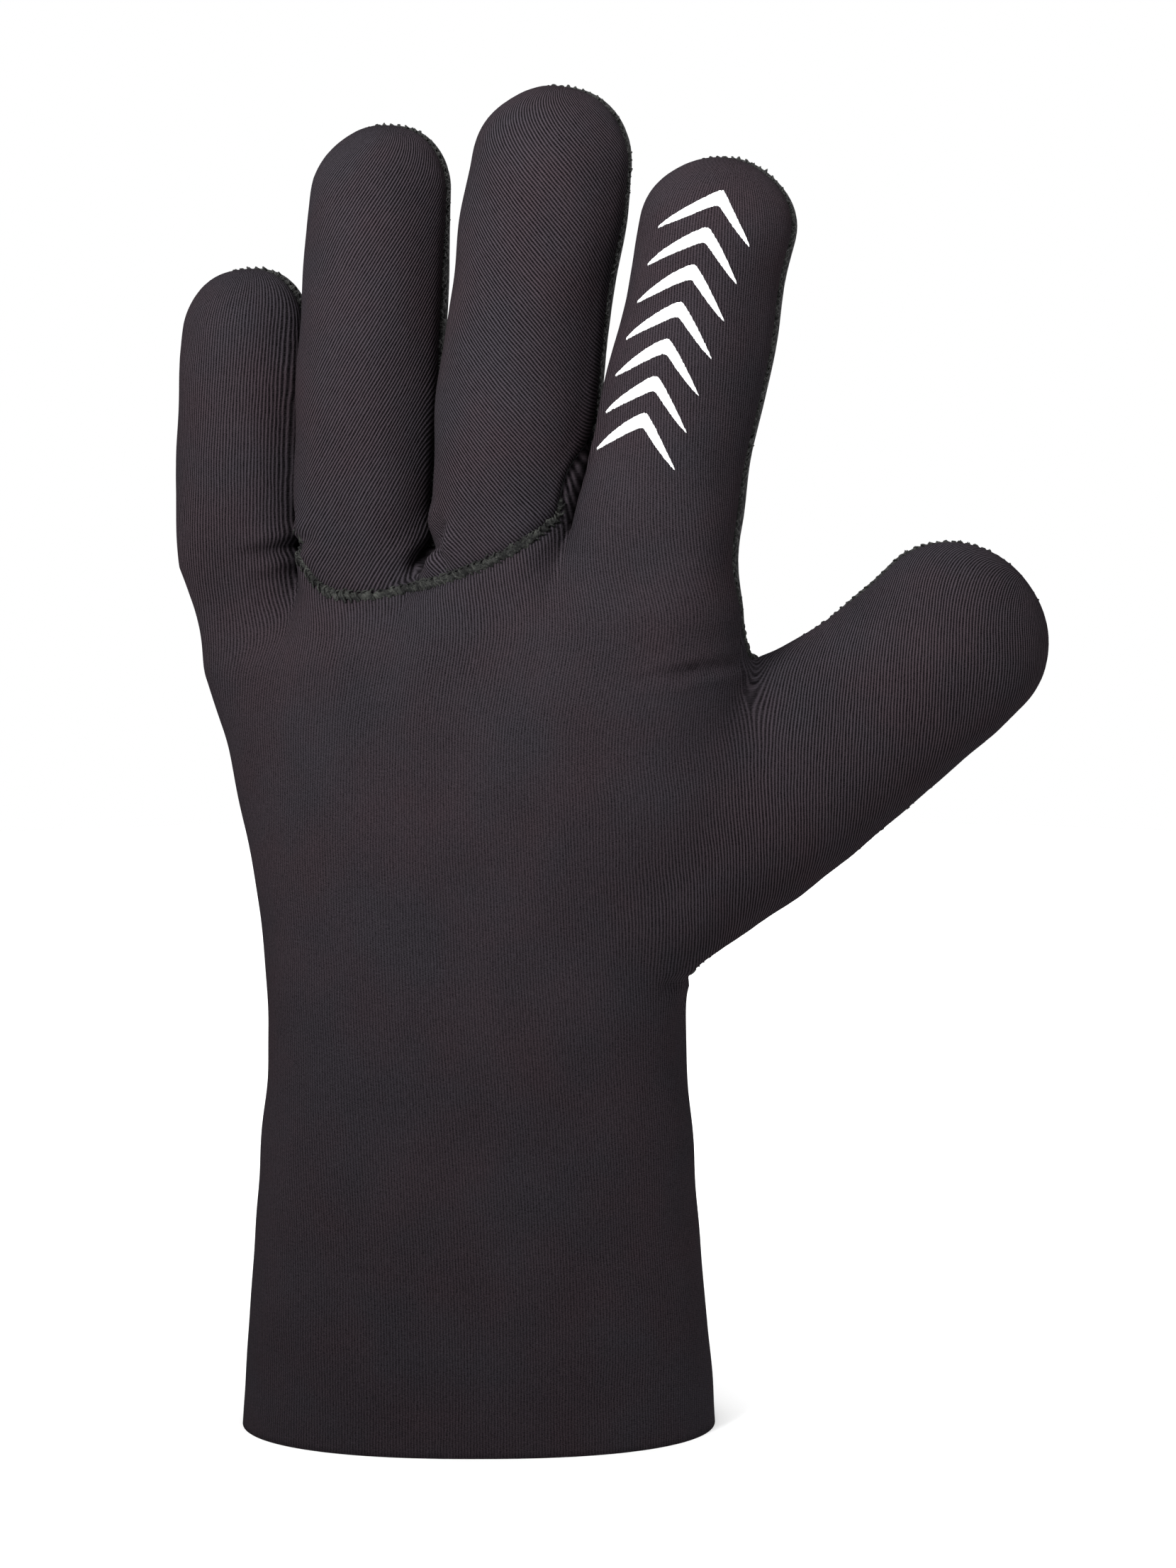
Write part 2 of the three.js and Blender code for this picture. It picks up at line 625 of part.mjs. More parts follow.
// A panel with its wall: the labelled faces outside, the same faces on the inner side, and edges between
// them, drawn back from the seams by half the seam's gap.
function panelGeometry(mesh, normals, inner, label) {
  const faces = mesh.faces.filter((_, i) => mesh.labels[i] === label);
  const used = new Map();
  faces.flat().forEach((c) => {
    if (!used.has(c)) used.set(c, used.size);
  });
  const sides = new Set(faces.flatMap((f) => [0, 1, 2].map((n) => `${f[n]}/${f[(n + 1) % 3]}`)));
  const rims = [];
  faces.forEach((f) => {
    [0, 1, 2].forEach((n) => {
      const [a, b] = [f[n], f[(n + 1) % 3]];
      if (!sides.has(`${b}/${a}`)) rims.push([a, b]);
    });
  });
  const skinCorners = mesh.corners.map((p) => new THREE.Vector3(...p));
  const drawn = [skinCorners, inner].map((layer) => {
    const shift = new Map();
    rims.forEach(([a, b]) => {
      if (mesh.corners[a][2] === 0 && mesh.corners[b][2] === 0) return;
      const edge = layer[b].clone().sub(layer[a]).normalize();
      [a, b].forEach((c) => {
        const inwards = normals[c].clone().cross(edge);
        shift.set(c, (shift.get(c) || new THREE.Vector3()).add(inwards));
      });
    });
    return [...used.keys()].map((c) => {
      const p = layer[c].clone();
      if (shift.has(c)) p.addScaledVector(shift.get(c).normalize(), seamGap / 2);
      return p.toArray();
    });
  });
  const count = used.size;
  const triangles = faces.flatMap((f) => {
    const [a, b, c] = f.map((corner) => used.get(corner));
    return [[a, b, c], [c + count, b + count, a + count]];
  });
  rims.forEach(([from, to]) => {
    const [a, b] = [used.get(from), used.get(to)];
    if (from < to) triangles.push([b, a, a + count], [b, a + count, b + count]);
    else triangles.push([b, a, b + count], [a, a + count, b + count]);
  });
  return geometryOf(drawn.flat(), triangles);
}

// A point on the back of the index finger: along it, and a length round it from its middle line.
function onIndex(along, round) {
  const index = fingers[3];
  const size = fingerSize(index, along);
  const angle = round / size.wide;
  const bend = index.curl * (along / index.length) ** curlPower;
  const sin = Math.sin(index.lean * degrees);
  const cos = Math.cos(index.lean * degrees);
  const end = (index.width / 2) * fingertipRound;
  const over = Math.max(0, along - (index.length - end)) / end;
  const shrink = Math.sqrt(Math.max(0.1, 1 - over * over));
  const across = shrink * size.wide * Math.sin(angle);
  const point = [
    index.x + along * sin + across * cos,
    index.y + bend - shrink * size.deep * Math.cos(angle),
    knuckleZ + along * cos - across * sin,
  ];
  return ontoSkin(point);
}

// One chevron of film: two arms that taper from the bend to a point, following the finger's skin.
function chevronGeometry(number) {
  const top = chevronTop * fingers[3].length - number * chevronPitch;
  const middle = chevronSide - number * chevronDrift;
  const rows = [];
  for (let i = -chevronSteps; i <= chevronSteps; i += 1) {
    const share = Math.abs(i) / chevronSteps;
    const round = middle + share * (i < 0 ? -chevronLeft : chevronRight);
    const upper = top - chevronDrop * share ** 1.15;
    const weight = chevronWeight * (1 - 0.92 * share ** 1.3);
    rows.push([onIndex(upper, round), onIndex(upper - weight, round)]);
  }
  const points = [];
  rows.forEach((pair) => {
    pair.forEach((p) => {
      const n = outward(p);
      points.push(p.map((c, i) => c + n.getComponent(i) * (filmGap + filmThickness)));
      points.push(p.map((c, i) => c + n.getComponent(i) * filmGap));
    });
  });
  const triangles = [];
  const quad = (a, b, c, d) => triangles.push([a, b, c], [a, c, d]);
  for (let i = 0; i < rows.length - 1; i += 1) {
    const [a, b] = [4 * i, 4 * (i + 1)];
    quad(a, a + 2, b + 2, b);
    quad(a + 1, b + 1, b + 3, a + 3);
    quad(a, b, b + 1, a + 1);
    quad(a + 2, a + 3, b + 3, b + 2);
  }
  const last = 4 * (rows.length - 1);
  quad(0, 1, 3, 2);
  quad(last, last + 2, last + 3, last + 1);
  return geometryOf(points, triangles);
}

const jersey = new THREE.MeshStandardMaterial({ color: 0x2b272b, roughness: 0.85, metalness: 0 });
const grip = new THREE.MeshStandardMaterial({ color: 0x161616, roughness: 0.7, metalness: 0 });
const film = new THREE.MeshStandardMaterial({ color: 0xe9e9e9, roughness: 0.6, metalness: 0 });

const mesh = meshSkin();
settle(mesh, 3);
mesh.labels = mesh.faces.map(() => "skin");
mesh.pinned = new Set();
splitFaces(mesh, (p) => p[2], () => true, "skin", "below");
mesh.pinned.forEach((c) => {
  for (let i = 0; i < 3; i += 1) mesh.corners[c] = [...ontoSkin(mesh.corners[c], 1).slice(0, 2), 0];
});
splitFaces(mesh, palmPanelField, (label) => label === "skin", "palm_panel", "back_panel");
splitFaces(mesh, middlePanelField, (label) => label === "back_panel", "middle_ring_panel", "back_panel");

smoothSeams(mesh, 4);
const normals = cornerNormals(mesh, 2);
const inner = innerCorners(mesh, normals);

const glove = new THREE.Group();
const place = (name, geometry, material) => {
  const piece = new THREE.Mesh(geometry, material);
  piece.name = name;
  glove.add(piece);
};
place("back_panel", panelGeometry(mesh, normals, inner, "back_panel"), jersey);
place("middle_ring_panel", panelGeometry(mesh, normals, inner, "middle_ring_panel"), jersey);
place("palm_panel", panelGeometry(mesh, normals, inner, "palm_panel"), grip);
for (let i = 0; i < chevronCount; i += 1) place(`chevron_${i + 1}`, chevronGeometry(i), film);

// The origin is the bottom centre of the glove's box.
const box = new THREE.Box3().setFromObject(glove);
const centre = box.getCenter(new THREE.Vector3());
glove.position.set(-centre.x, -centre.y, 0);

export default glove;
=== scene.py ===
"""The looks of a diving glove: ribbed jersey on neoprene, a grip palm, sewn seams and printed chevrons.

Millimetres until a piece is placed. The glove's skin is the zero surface of one field, the same as in the CAD
source: a rounded tube for cuff and palm, one for each finger and one for the thumb, melted together. Only the
side seam runs elsewhere than there: it lies nearer to the palm, so that it shows on the outline. Shapes are
worked out in the frame of the flat hand, and the last step turns the hand a little on its cuff.
"""
import math

import bpy
import numpy as np
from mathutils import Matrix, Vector


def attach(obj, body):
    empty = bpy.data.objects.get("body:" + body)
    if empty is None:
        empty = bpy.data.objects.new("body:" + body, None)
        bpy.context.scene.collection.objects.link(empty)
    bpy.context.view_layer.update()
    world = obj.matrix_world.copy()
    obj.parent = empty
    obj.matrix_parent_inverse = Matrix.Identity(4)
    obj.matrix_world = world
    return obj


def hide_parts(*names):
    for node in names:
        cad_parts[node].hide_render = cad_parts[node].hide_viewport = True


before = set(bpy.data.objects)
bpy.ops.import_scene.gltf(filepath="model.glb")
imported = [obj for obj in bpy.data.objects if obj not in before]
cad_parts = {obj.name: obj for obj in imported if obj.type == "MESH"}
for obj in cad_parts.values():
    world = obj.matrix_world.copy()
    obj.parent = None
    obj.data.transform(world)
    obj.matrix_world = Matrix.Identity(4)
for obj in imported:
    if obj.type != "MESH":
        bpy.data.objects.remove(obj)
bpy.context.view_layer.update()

# Neoprene and sizes of the hand, in millimetres
wall = 5.0
seam_gap = 0.4
edge_sink = 0.3
cuff_length = 92.0
palm_length = 96.0
rim_width, rim_depth = 104.4, 62.0
wrist_width, wrist_depth = 91.0, 56.0
palm_width, palm_depth = 124.4, 48.0
palm_shift = -3.5
palm_arch = -0.1
knuckle_rise = 0.14
knuckle_top = 0.01
knuckle_dome = 17.0
hand_turn = 14.0
hand_corner = 2.3
wrist_z = cuff_length
knuckle_z = cuff_length + palm_length
from_wrist_to_origin = (-29.156, -2.8825, 0.0)

# Fingers: x and y place a root in palm widths and depths, long and wide are shares of the middle finger's,
# root is the width's share at the root, lean is in degrees, fan carries the tail below the root inwards.
finger_length = 104.5
finger_width = 34.8
finger_deep = 0.96
finger_rows = {
    "little": dict(x=-0.437, y=0.125, long=0.617, wide=0.793, root=0.98, lean=-0.9, fan=0.27, curl=0.14),
    "ring": dict(x=-0.201, y=0.042, long=0.916, wide=0.885, root=0.9, lean=0.7, fan=0.1, curl=0.146),
    "middle": dict(x=0.05, y=-0.025, long=1.0, wide=1.0, root=0.88, lean=5.7, fan=0.0, curl=0.134),
    "index": dict(x=0.311, y=-0.073, long=0.866, wide=0.964, root=1.01, lean=10.8, fan=0.0, curl=0.11),
}
finger_form = {
    "at": [-0.4, 0, 0.25, 0.55, 0.85, 1.1],
    "wide": [0.8, 1, 1, 1, 0.98, 0.96],
    "deep": [0.7, 0.94, 1, 1, 0.93, 0.86],
}
root_height = 0.36
root_corner = 2.8
curl_power = 2.4
fingertip_round = 0.93
finger_tail = 0.23
finger_melt = 11.0

# Thumb
thumb_place = dict(x=0.326, y=0.083, z=0.281)
thumb_length = 104.2
thumb_width = 42.0
thumb_depth = 38.0
thumb_lean = 47.1
thumb_forward = 16.0
thumb_form = {
    "at": [-0.1, 0.2, 0.5, 0.75, 1],
    "wide": [0.78, 0.94, 1, 1, 0.97],
    "deep": [0.9, 1.04, 1.02, 0.97, 0.9],
}
thumb_melt_low = 7.0
thumb_melt_high = 25.0

# Seams. The side seam lies off the middle of each finger by a share of its half depth: side_seam_turn on the
# little finger's side, towards the palm, and side_seam_right on the thumb's side. Around web_place, across and
# up, it lies web_seam_lift nearer to the palm. Beside the two middle fingers a margin of back panel lines the
# gaps, and fades out over web_fade from a height above the knuckles. The knuckle arc has "at" as a share of the
# way from one gap to the other and "rise" in palm lengths, and its stitches end at the heights arc_ends.
side_seam_turn = 0.16
side_seam_right = -0.02
web_seam_lift = 4.0
web_seam_reach = 15.0
web_place = (62.0, 171.0)
palm_seam_z = wrist_z + 9.0
web_margin = 2.5
web_fade = 12.0
web_fade_from = (6.0, 20.0)
knuckle_arc = {
    "at": [0, 0.06, 0.14, 0.25, 0.45, 0.65, 0.85, 0.95, 1],
    "rise": [0.036, -0.01, -0.038, -0.046, -0.027, 0.008, 0.062, 0.104, 0.135],
}
arc_ends = (196.5, 206.0)

# How a seam draws the neoprene in: a narrow valley on it and a soft swelling beside it. The knuckle seam and
# the palm's end pull a little less than the side seam, which starts just below the palm's end.
seam_valley = dict(deep=0.75, wide=1.5)
seam_swelling = dict(high=0.28, wide=2.6, at=4.6)
soft_pull = 0.8
side_seam_below, side_seam_grows_over = 6, 8
far_from_seams = 50

# Lumps of thick neoprene: wavelength and height of each set of waves, what their sum is divided by, and the
# height above the rim up to which they grow
lump_waves = ((70, 0.3), (48, 0.26), (34, 0.2), (24, 0.13), (17, 0.09), (12, 0.06))
waves_in_set = 3
lump_calm = 1.7
calm_rim = 12

# Folds on the back of the hand: where they start and end in x and height, how far they bow up, and their
# width and depth. The swelling beside each has its height as a share of the depth, the rest in widths.
creases = [
    dict(start=(-52, 191), end=(-32.5, 196), bow=-0.8, wide=1.4, deep=1.4),
    dict(start=(46.4, 168.3), end=(60.5, 170.7), bow=0.8, wide=1.2, deep=0.9),
    dict(start=(39.4, 167.6), end=(59.3, 169.4), bow=1.4, wide=0.9, deep=0.5),
    dict(start=(41.9, 99.8), end=(47, 100.8), bow=0.3, wide=1.2, deep=0.7),
    dict(start=(-3.6, 201), end=(-12.4, 188.4), bow=0.4, wide=1.7, deep=2.6),
    dict(start=(-5.0, 198.6), end=(-1.6, 189.8), bow=-0.8, wide=1.3, deep=1.3),
]
crease_swelling = dict(high=0.4, wide=1.1, at=2.2)
crease_fade = 0.6
crease_back = 6

# Sewn ropes: width and height are each a plain share, a share that swells with the stitch and a rough share
rope_sides = 14
rope_step = 0.3
rope_width = (0.86, 0.12, 0.09)
rope_height = (0.66, 0.34, 0.16)
rope_taper = 1.5
rope_sink = 0.1
rope_wander = 0.16
rope_twist = 0.27
twist_wander = 0.8
rope_crumbs = 0.1

# Sewing threads: how far their turns and loops vary, and how far they drift along the seam, as a share of a
# stitch
thread_sides = 6
thread_steps = 12
turn_wander = 0.55
loop_wander = 0.13
thread_drift = 0.42
drift_lag = 0.6
drift_wander = 0.1

# Chevrons on the index finger
chevron_count = 7
chevron_top = 0.927
chevron_side = 1.5
chevron_pitch = 8.0
chevron_drift = 0.95
chevron_left = 12.6
chevron_right = 9.0
chevron_drop = 10.6
chevron_weight = 3.2
chevron_bend = 0.04
chevron_bow = 1.15
chevron_taper = 0.93
taper_power = 2.1
chevron_ragged = 0.05
film_lift = 0.12
film_thickness = 0.35
film_bottom = 0.02
film_edge = 0.25
film_tip = 0.03

# Jersey: how far apart its ribs and its stitches are, and how the ribs turn on both sides of the panel of the
# two middle fingers, in degrees. On the hand the ribs lean sideways and grow crisp from a little below the
# knuckles, each over a height. rib_crispness is that of the four fingers, the thumb and the hand.
rib_pitch = 0.64
stitch_pitch = 0.45
ring_rib_turn = 30.0
middle_rib_turn = -42.0
rib_lean = 15.0
rib_lean_below, rib_lean_over = 34, 48
rib_crispness = [0.75, 1.0, 1.0, 0.5, 0.9, 0.3]
hand_crispness = 0.9
crisp_below, crisp_over = 40, 34
hand_flatness = 0.52
cloth_blend, middle_cloth_blend = 6.0, 1.5

# Meshes: cell sizes
cell = 1.36
lane_cells = [27, 24, 26, 28, 60]

to_metres = 0.001
degrees = math.pi / 180


def ease(t):
    """0 up to 1 along a smooth step: 3t² - 2t³."""
    t = np.clip(t, 0, 1)
    return t * t * (3 - 2 * t)


def read(table, column, at):
    """A column of a table between its rows: cubic pieces, each row's slope that of its two neighbours."""
    x, v = np.asarray(table["at"], float), np.asarray(table[column], float)
    slope = np.concatenate([
        [(v[1] - v[0]) / (x[1] - x[0])],
        (v[2:] - v[:-2]) / (x[2:] - x[:-2]),
        [(v[-1] - v[-2]) / (x[-1] - x[-2])],
    ])
    c = np.clip(at, x[0], x[-1])
    i = np.clip(np.searchsorted(x, c, side="right") - 1, 0, len(x) - 2)
    span = x[i + 1] - x[i]
    t = (c - x[i]) / span
    h = t * t * (3 - 2 * t)
    ends = t * (1 - t) ** 2 * span * slope[i] + t * t * (t - 1) * span * slope[i + 1]
    return v[i] * (1 - h) + v[i + 1] * h + ends


def sized_fingers():
    """The finger table in millimetres."""
    made = []
    for name, row in finger_rows.items():
        made.append(dict(
            row, name=name, x=row["x"] * palm_width, y=row["y"] * palm_depth,
            length=row["long"] * finger_length, width=row["wide"] * finger_width,
            depth=finger_deep * row["wide"] * finger_width, curl=row["curl"] * row["long"] * finger_length,
        ))
    return made


fingers = sized_fingers()
thumb_root = np.array([
    thumb_place["x"] * palm_width, thumb_place["y"] * palm_depth, wrist_z + thumb_place["z"] * palm_length,
])
flare = (rim_width - wrist_width) / 2
hand_form = {
    "at": [
        -20, 0, 0.45 * wrist_z, 0.72 * wrist_z, wrist_z, wrist_z + 0.29 * palm_length,
        wrist_z + 0.55 * palm_length, wrist_z + 0.68 * palm_length, wrist_z + 0.82 * palm_length,
        knuckle_z, knuckle_z + 30,
    ],
    "x": [0, 0, 0, 0, 0] + [s * palm_shift for s in (0.5, 0.55, 0.62, 0.65, 0.6, 0.6)],
    "wide": [
        wrist_width / 2 + 1.2 * flare, rim_width / 2, wrist_width / 2 + 0.55 * flare,
        wrist_width / 2 + 0.2 * flare, wrist_width / 2,
    ] + [s * palm_width for s in (0.383, 0.43, 0.456, 0.48, 0.484, 0.484)],
    "deep": [rim_depth / 2, rim_depth / 2, 0.53 * wrist_depth, 0.51 * wrist_depth, wrist_depth / 2]
    + [s * palm_depth for s in (0.53, 0.5, 0.47, 0.42, 0.36, 0.34)],
}


def tube_distance(a, b, over, wide, deep, end, corner):
    """Distance to a rounded tube: a across and b deep from its axis, over past the start of its round end."""
    u = np.abs(a) / wide
    v = np.abs(b) / deep
    ring = np.maximum(1e-6, (u ** corner + v ** corner) ** (1 / corner))
    cap = np.maximum(0, over) / end
    size = np.maximum(1e-6, np.hypot(ring, cap))
    slope_a = ((u / ring) ** (corner - 1) / wide) * (ring / size)
    slope_b = ((v / ring) ** (corner - 1) / deep) * (ring / size)
    return (size - 1) / np.maximum(1e-6, np.sqrt(slope_a ** 2 + slope_b ** 2 + (cap / size / end) ** 2))


def in_finger(f, p):
    """Points in a finger's own frame: along from its root, across towards the thumb, deep to the palm."""
    sin, cos = math.sin(f["lean"] * degrees), math.cos(f["lean"] * degrees)
    x, z = p[..., 0] - f["x"], p[..., 2] - knuckle_z
    along = x * sin + z * cos
    bend = f["curl"] * np.maximum(0, along / f["length"]) ** curl_power
    across = x * cos - z * sin + f["fan"] * np.minimum(0, along)
    return along, across, p[..., 1] - f["y"] - bend


def finger_size(f, along):
    """Half width, half depth and corner power of a finger's section."""
    at = along / f["length"]
    grown = ease(at / root_height)
    root = f["root"] + (1 - f["root"]) * grown
    wide = f["width"] / 2 * root * read(finger_form, "wide", at)
    deep = f["depth"] / 2 * read(finger_form, "deep", at)
    return wide, deep, root_corner + (2 - root_corner) * grown


def finger_distance(f, p):
    """Distance to a finger's skin."""
    along, across, deep = in_finger(f, p)
    end = f["width"] / 2 * fingertip_round
    size = finger_size(f, along)
    over = np.maximum(along - (f["length"] - end), -along - finger_tail * palm_length)
    return tube_distance(across, deep, over, size[0], size[1], end, size[2])


def thumb_axes():
    """The thumb's own directions: along it, across it and deep through it."""
    lean, forward = thumb_lean * degrees, thumb_forward * degrees
    along = np.array([
        math.sin(lean) * math.cos(forward), math.sin(forward), math.cos(lean) * math.cos(forward),
    ])
    across = np.array([math.cos(lean), 0, -math.sin(lean)])
    return along, across, np.cross(along, across)


thumb_along, thumb_across, thumb_deep = thumb_axes()


def in_thumb(p):
    """Points in the thumb's own frame."""
    d = p - thumb_root
    return d @ thumb_along, d @ thumb_across, d @ thumb_deep


def thumb_size(along):
    """Half width and half depth of the thumb's section."""
    at = along / thumb_length
    return thumb_width / 2 * read(thumb_form, "wide", at), thumb_depth / 2 * read(thumb_form, "deep", at)


def thumb_distance(p):
    """Distance to the thumb's skin."""
    along, across, deep = in_thumb(p)
    end = thumb_width / 2.1
    size = thumb_size(along)
    over = np.maximum(along - (thumb_length - end), -along)
    return tube_distance(across, deep, over, size[0], size[1], end, 2)


def hand_size(z):
    """Middle, half width, half depth and arch of cuff and palm at a height."""
    arch = palm_arch * ease((z - wrist_z) / palm_length)
    return read(hand_form, "x", z), read(hand_form, "wide", z), read(hand_form, "deep", z), arch


def hand_distance(p):
    """Distance to the skin of cuff and palm."""
    x, y, z = p[..., 0], p[..., 1], p[..., 2]
    middle, wide, deep, arch = hand_size(z)
    over = z - (knuckle_z + knuckle_top * palm_length + knuckle_rise * x - knuckle_dome)
    return tube_distance(x - middle, y - arch * x, over, wide, deep, knuckle_dome, hand_corner)


def melt(a, b, over):
    """Two distances melted together over a length."""
    h = np.maximum(0, over - np.abs(a - b)) / over
    return np.minimum(a, b) - h * h * over / 4


def skin(p):
    """The glove's skin: zero on it, below zero inside."""
    rise = ease((p[..., 2] - thumb_root[2]) / (0.6 * thumb_width))
    thumb_melt = thumb_melt_low + (thumb_melt_high - thumb_melt_low) * rise
    hand = melt(hand_distance(p), thumb_distance(p), thumb_melt)
    return np.min([melt(hand, finger_distance(f, p), finger_melt) for f in fingers], axis=0)


def gradient(field, p, reach=0.2):
    """A field's slope at points, from its values a little to each side."""
    steps = np.concatenate([np.eye(3), -np.eye(3)]) * reach
    value = field(p[None] + steps[:, None])
    return np.moveaxis(value[:3] - value[3:], 0, -1) / (2 * reach)


def onto_skin(p, steps=3, reach=2.5, level=0.0):
    """Points moved down the field's slope until the field has the level."""
    for _ in range(steps):
        g = gradient(skin, p)
        slope = np.maximum(0.2, np.sum(g * g, axis=-1))
        move = np.clip((skin(p) - level) / slope, -reach, reach)
        p = p - move[..., None] * g
    return p


def unit(v):
    """Vectors scaled to length one."""
    return v / np.maximum(1e-9, np.linalg.norm(v, axis=-1, keepdims=True))


def outward(p):
    """The direction away from the skin."""
    return unit(gradient(skin, p))


def turned(p):
    """The hand turned on its cuff: none at the rim, the full turn at the knuckles."""
    angle = -hand_turn * degrees * ease((p[..., 2] - 0.2 * wrist_z) / (0.85 * knuckle_z - 0.2 * wrist_z))
    cos, sin = np.cos(angle), np.sin(angle)
    x, y, z = p[..., 0], p[..., 1], p[..., 2]
    return np.stack([x * cos - y * sin, x * sin + y * cos, z], axis=-1)


def placed(p):
    """Points of the flat hand where they are on the glove, in metres from its origin."""
    return (turned(p) + np.array(from_wrist_to_origin)) * to_metres


def gap_x(i, z):
    """The middle of the gap between one finger and the next, at a height."""
    high = np.maximum(z, knuckle_z - 8)

    def side(f, sign):
        up = np.minimum(high, knuckle_z + 0.9 * f["length"]) - knuckle_z
        axis = f["x"] + up * math.tan(f["lean"] * degrees)
        return axis + sign * finger_size(f, up)[0] / math.cos(f["lean"] * degrees)

    return (side(fingers[i], 1) + side(fingers[i + 1], -1)) / 2


def grid_lines(z):
    """Grid lines across the hand at heights: the lanes of the fingers, then the thumb's side."""
    index = fingers[3]
    up = np.clip(z, knuckle_z - 8, knuckle_z + index["length"]) - knuckle_z
    index_side = index["x"] + up * math.tan(index["lean"] * degrees) + index["width"] / 2 + 4
    left = np.full_like(z, min(-rim_width / 2, fingers[0]["x"] - fingers[0]["width"] / 2) - 6)
    right = np.full_like(z, thumb_root[0] + thumb_length * math.sin(thumb_lean * degrees) + 6)
    bounds = [left, gap_x(0, z), gap_x(1, z), gap_x(2, z), index_side, right]
    lines = [left[:, None]]
    for lane, count in enumerate(lane_cells):
        share = np.arange(1, count + 1) / count
        lines.append(bounds[lane][:, None] + (bounds[lane + 1] - bounds[lane])[:, None] * share)
    return np.concatenate(lines, axis=1)


def mesh_skin():
    """A mesh of the skin: one corner in each grid cell that the skin passes through, at the middle of its
    crossings of the cell's edges, and two faces across each grid edge that it crosses."""
    heights = np.arange(-2.5 * cell, knuckle_z + fingers[2]["length"] + 2 * cell, cell)
    back = thumb_root[1] + thumb_length * math.sin(thumb_forward * degrees) + thumb_depth / 2 + 3
    depths = np.arange(-rim_depth / 2 - 4, back, cell)
    lines = grid_lines(heights)
    nz, ny, nx = len(heights), len(depths), lines.shape[1]
    spots = np.empty((nz, ny, nx, 3))
    spots[..., 0] = lines[:, None, :]
    spots[..., 1] = depths[None, :, None]
    spots[..., 2] = heights[:, None, None]
    value = np.concatenate([skin(spots[k:k + 12]) for k in range(0, nz, 12)])
    inside = value < 0

    sides = [(c >> 2 & 1, c >> 1 & 1, c & 1) for c in range(8)]
    count = sum(inside[a:nz - 1 + a, b:ny - 1 + b, c:nx - 1 + c].astype(int) for a, b, c in sides)
    crossed = np.argwhere((count > 0) & (count < 8))
    corner_of = np.full((nz, ny, nx), -1)
    corner_of[tuple(crossed.T)] = np.arange(len(crossed))
    total, crossings = np.zeros((len(crossed), 3)), np.zeros(len(crossed))
    for a in sides:
        for axis in range(3):
            if a[axis]:
                continue
            b = tuple(v + (n == axis) for n, v in enumerate(a))
            ia, ib = tuple((crossed + a).T), tuple((crossed + b).T)
            through = inside[ia] != inside[ib]
            t = np.where(through, value[ia] / np.where(through, value[ia] - value[ib], 1), 0)
            point = spots[ia] + t[:, None] * (spots[ib] - spots[ia])
            total += point * through[:, None]
            crossings += through
    corners = total / crossings[:, None]

    faces = []
    around = {
        2: [(-1, -1, 0), (-1, 0, 0), (0, 0, 0), (0, -1, 0)],
        1: [(-1, 0, -1), (-1, 0, 0), (0, 0, 0), (0, 0, -1)],
        0: [(0, -1, -1), (0, -1, 0), (0, 0, 0), (0, 0, -1)],
    }
    for axis, cells in around.items():
        step = np.eye(3, dtype=int)[axis]
        here = inside[:nz - 1, :ny - 1, :nx - 1]
        there = inside[step[0]:nz - 1 + step[0], step[1]:ny - 1 + step[1], step[2]:nx - 1 + step[2]]
        edges = np.argwhere(here != there)
        edges = edges[np.all(edges > 0, axis=1)]
        quad = np.stack([corner_of[tuple((edges + c).T)] for c in cells], axis=1)
        whole = np.all(quad >= 0, axis=1)
        outwards = inside[tuple(edges.T)][whole]
        quad = quad[whole]
        turn = outwards if axis == 1 else ~outwards
        quad[turn] = quad[turn][:, ::-1]
        faces.append(quad)
    quads = np.concatenate(faces)
    one_way = np.linalg.norm(corners[quads[:, 0]] - corners[quads[:, 2]], axis=1)
    other_way = np.linalg.norm(corners[quads[:, 1]] - corners[quads[:, 3]], axis=1)
    short = (one_way <= other_way)[:, None]
    first = np.where(short, quads[:, [0, 1, 2]], quads[:, [0, 1, 3]])
    second = np.where(short, quads[:, [0, 2, 3]], quads[:, [1, 2, 3]])
    return corners, np.concatenate([first, second])


def edges_of(faces):
    """Every edge of a mesh once, as pairs of corners."""
    pairs = np.sort(np.concatenate([faces[:, [0, 1]], faces[:, [1, 2]], faces[:, [2, 0]]]), axis=1)
    return np.unique(pairs, axis=0)


def evened(values, edges, share, rounds):
    """Values at corners moved a share of the way to their neighbours' middle, a few times over."""
    count = np.bincount(edges.ravel(), minlength=len(values)).astype(float)
    for _ in range(rounds):
        total = np.stack([
            np.bincount(edges[:, 0], values[edges[:, 1], n], len(values))
            + np.bincount(edges[:, 1], values[edges[:, 0], n], len(values))
            for n in range(values.shape[1])
        ], axis=1)
        values = values + share * (total / np.maximum(1, count)[:, None] - values)
    return values


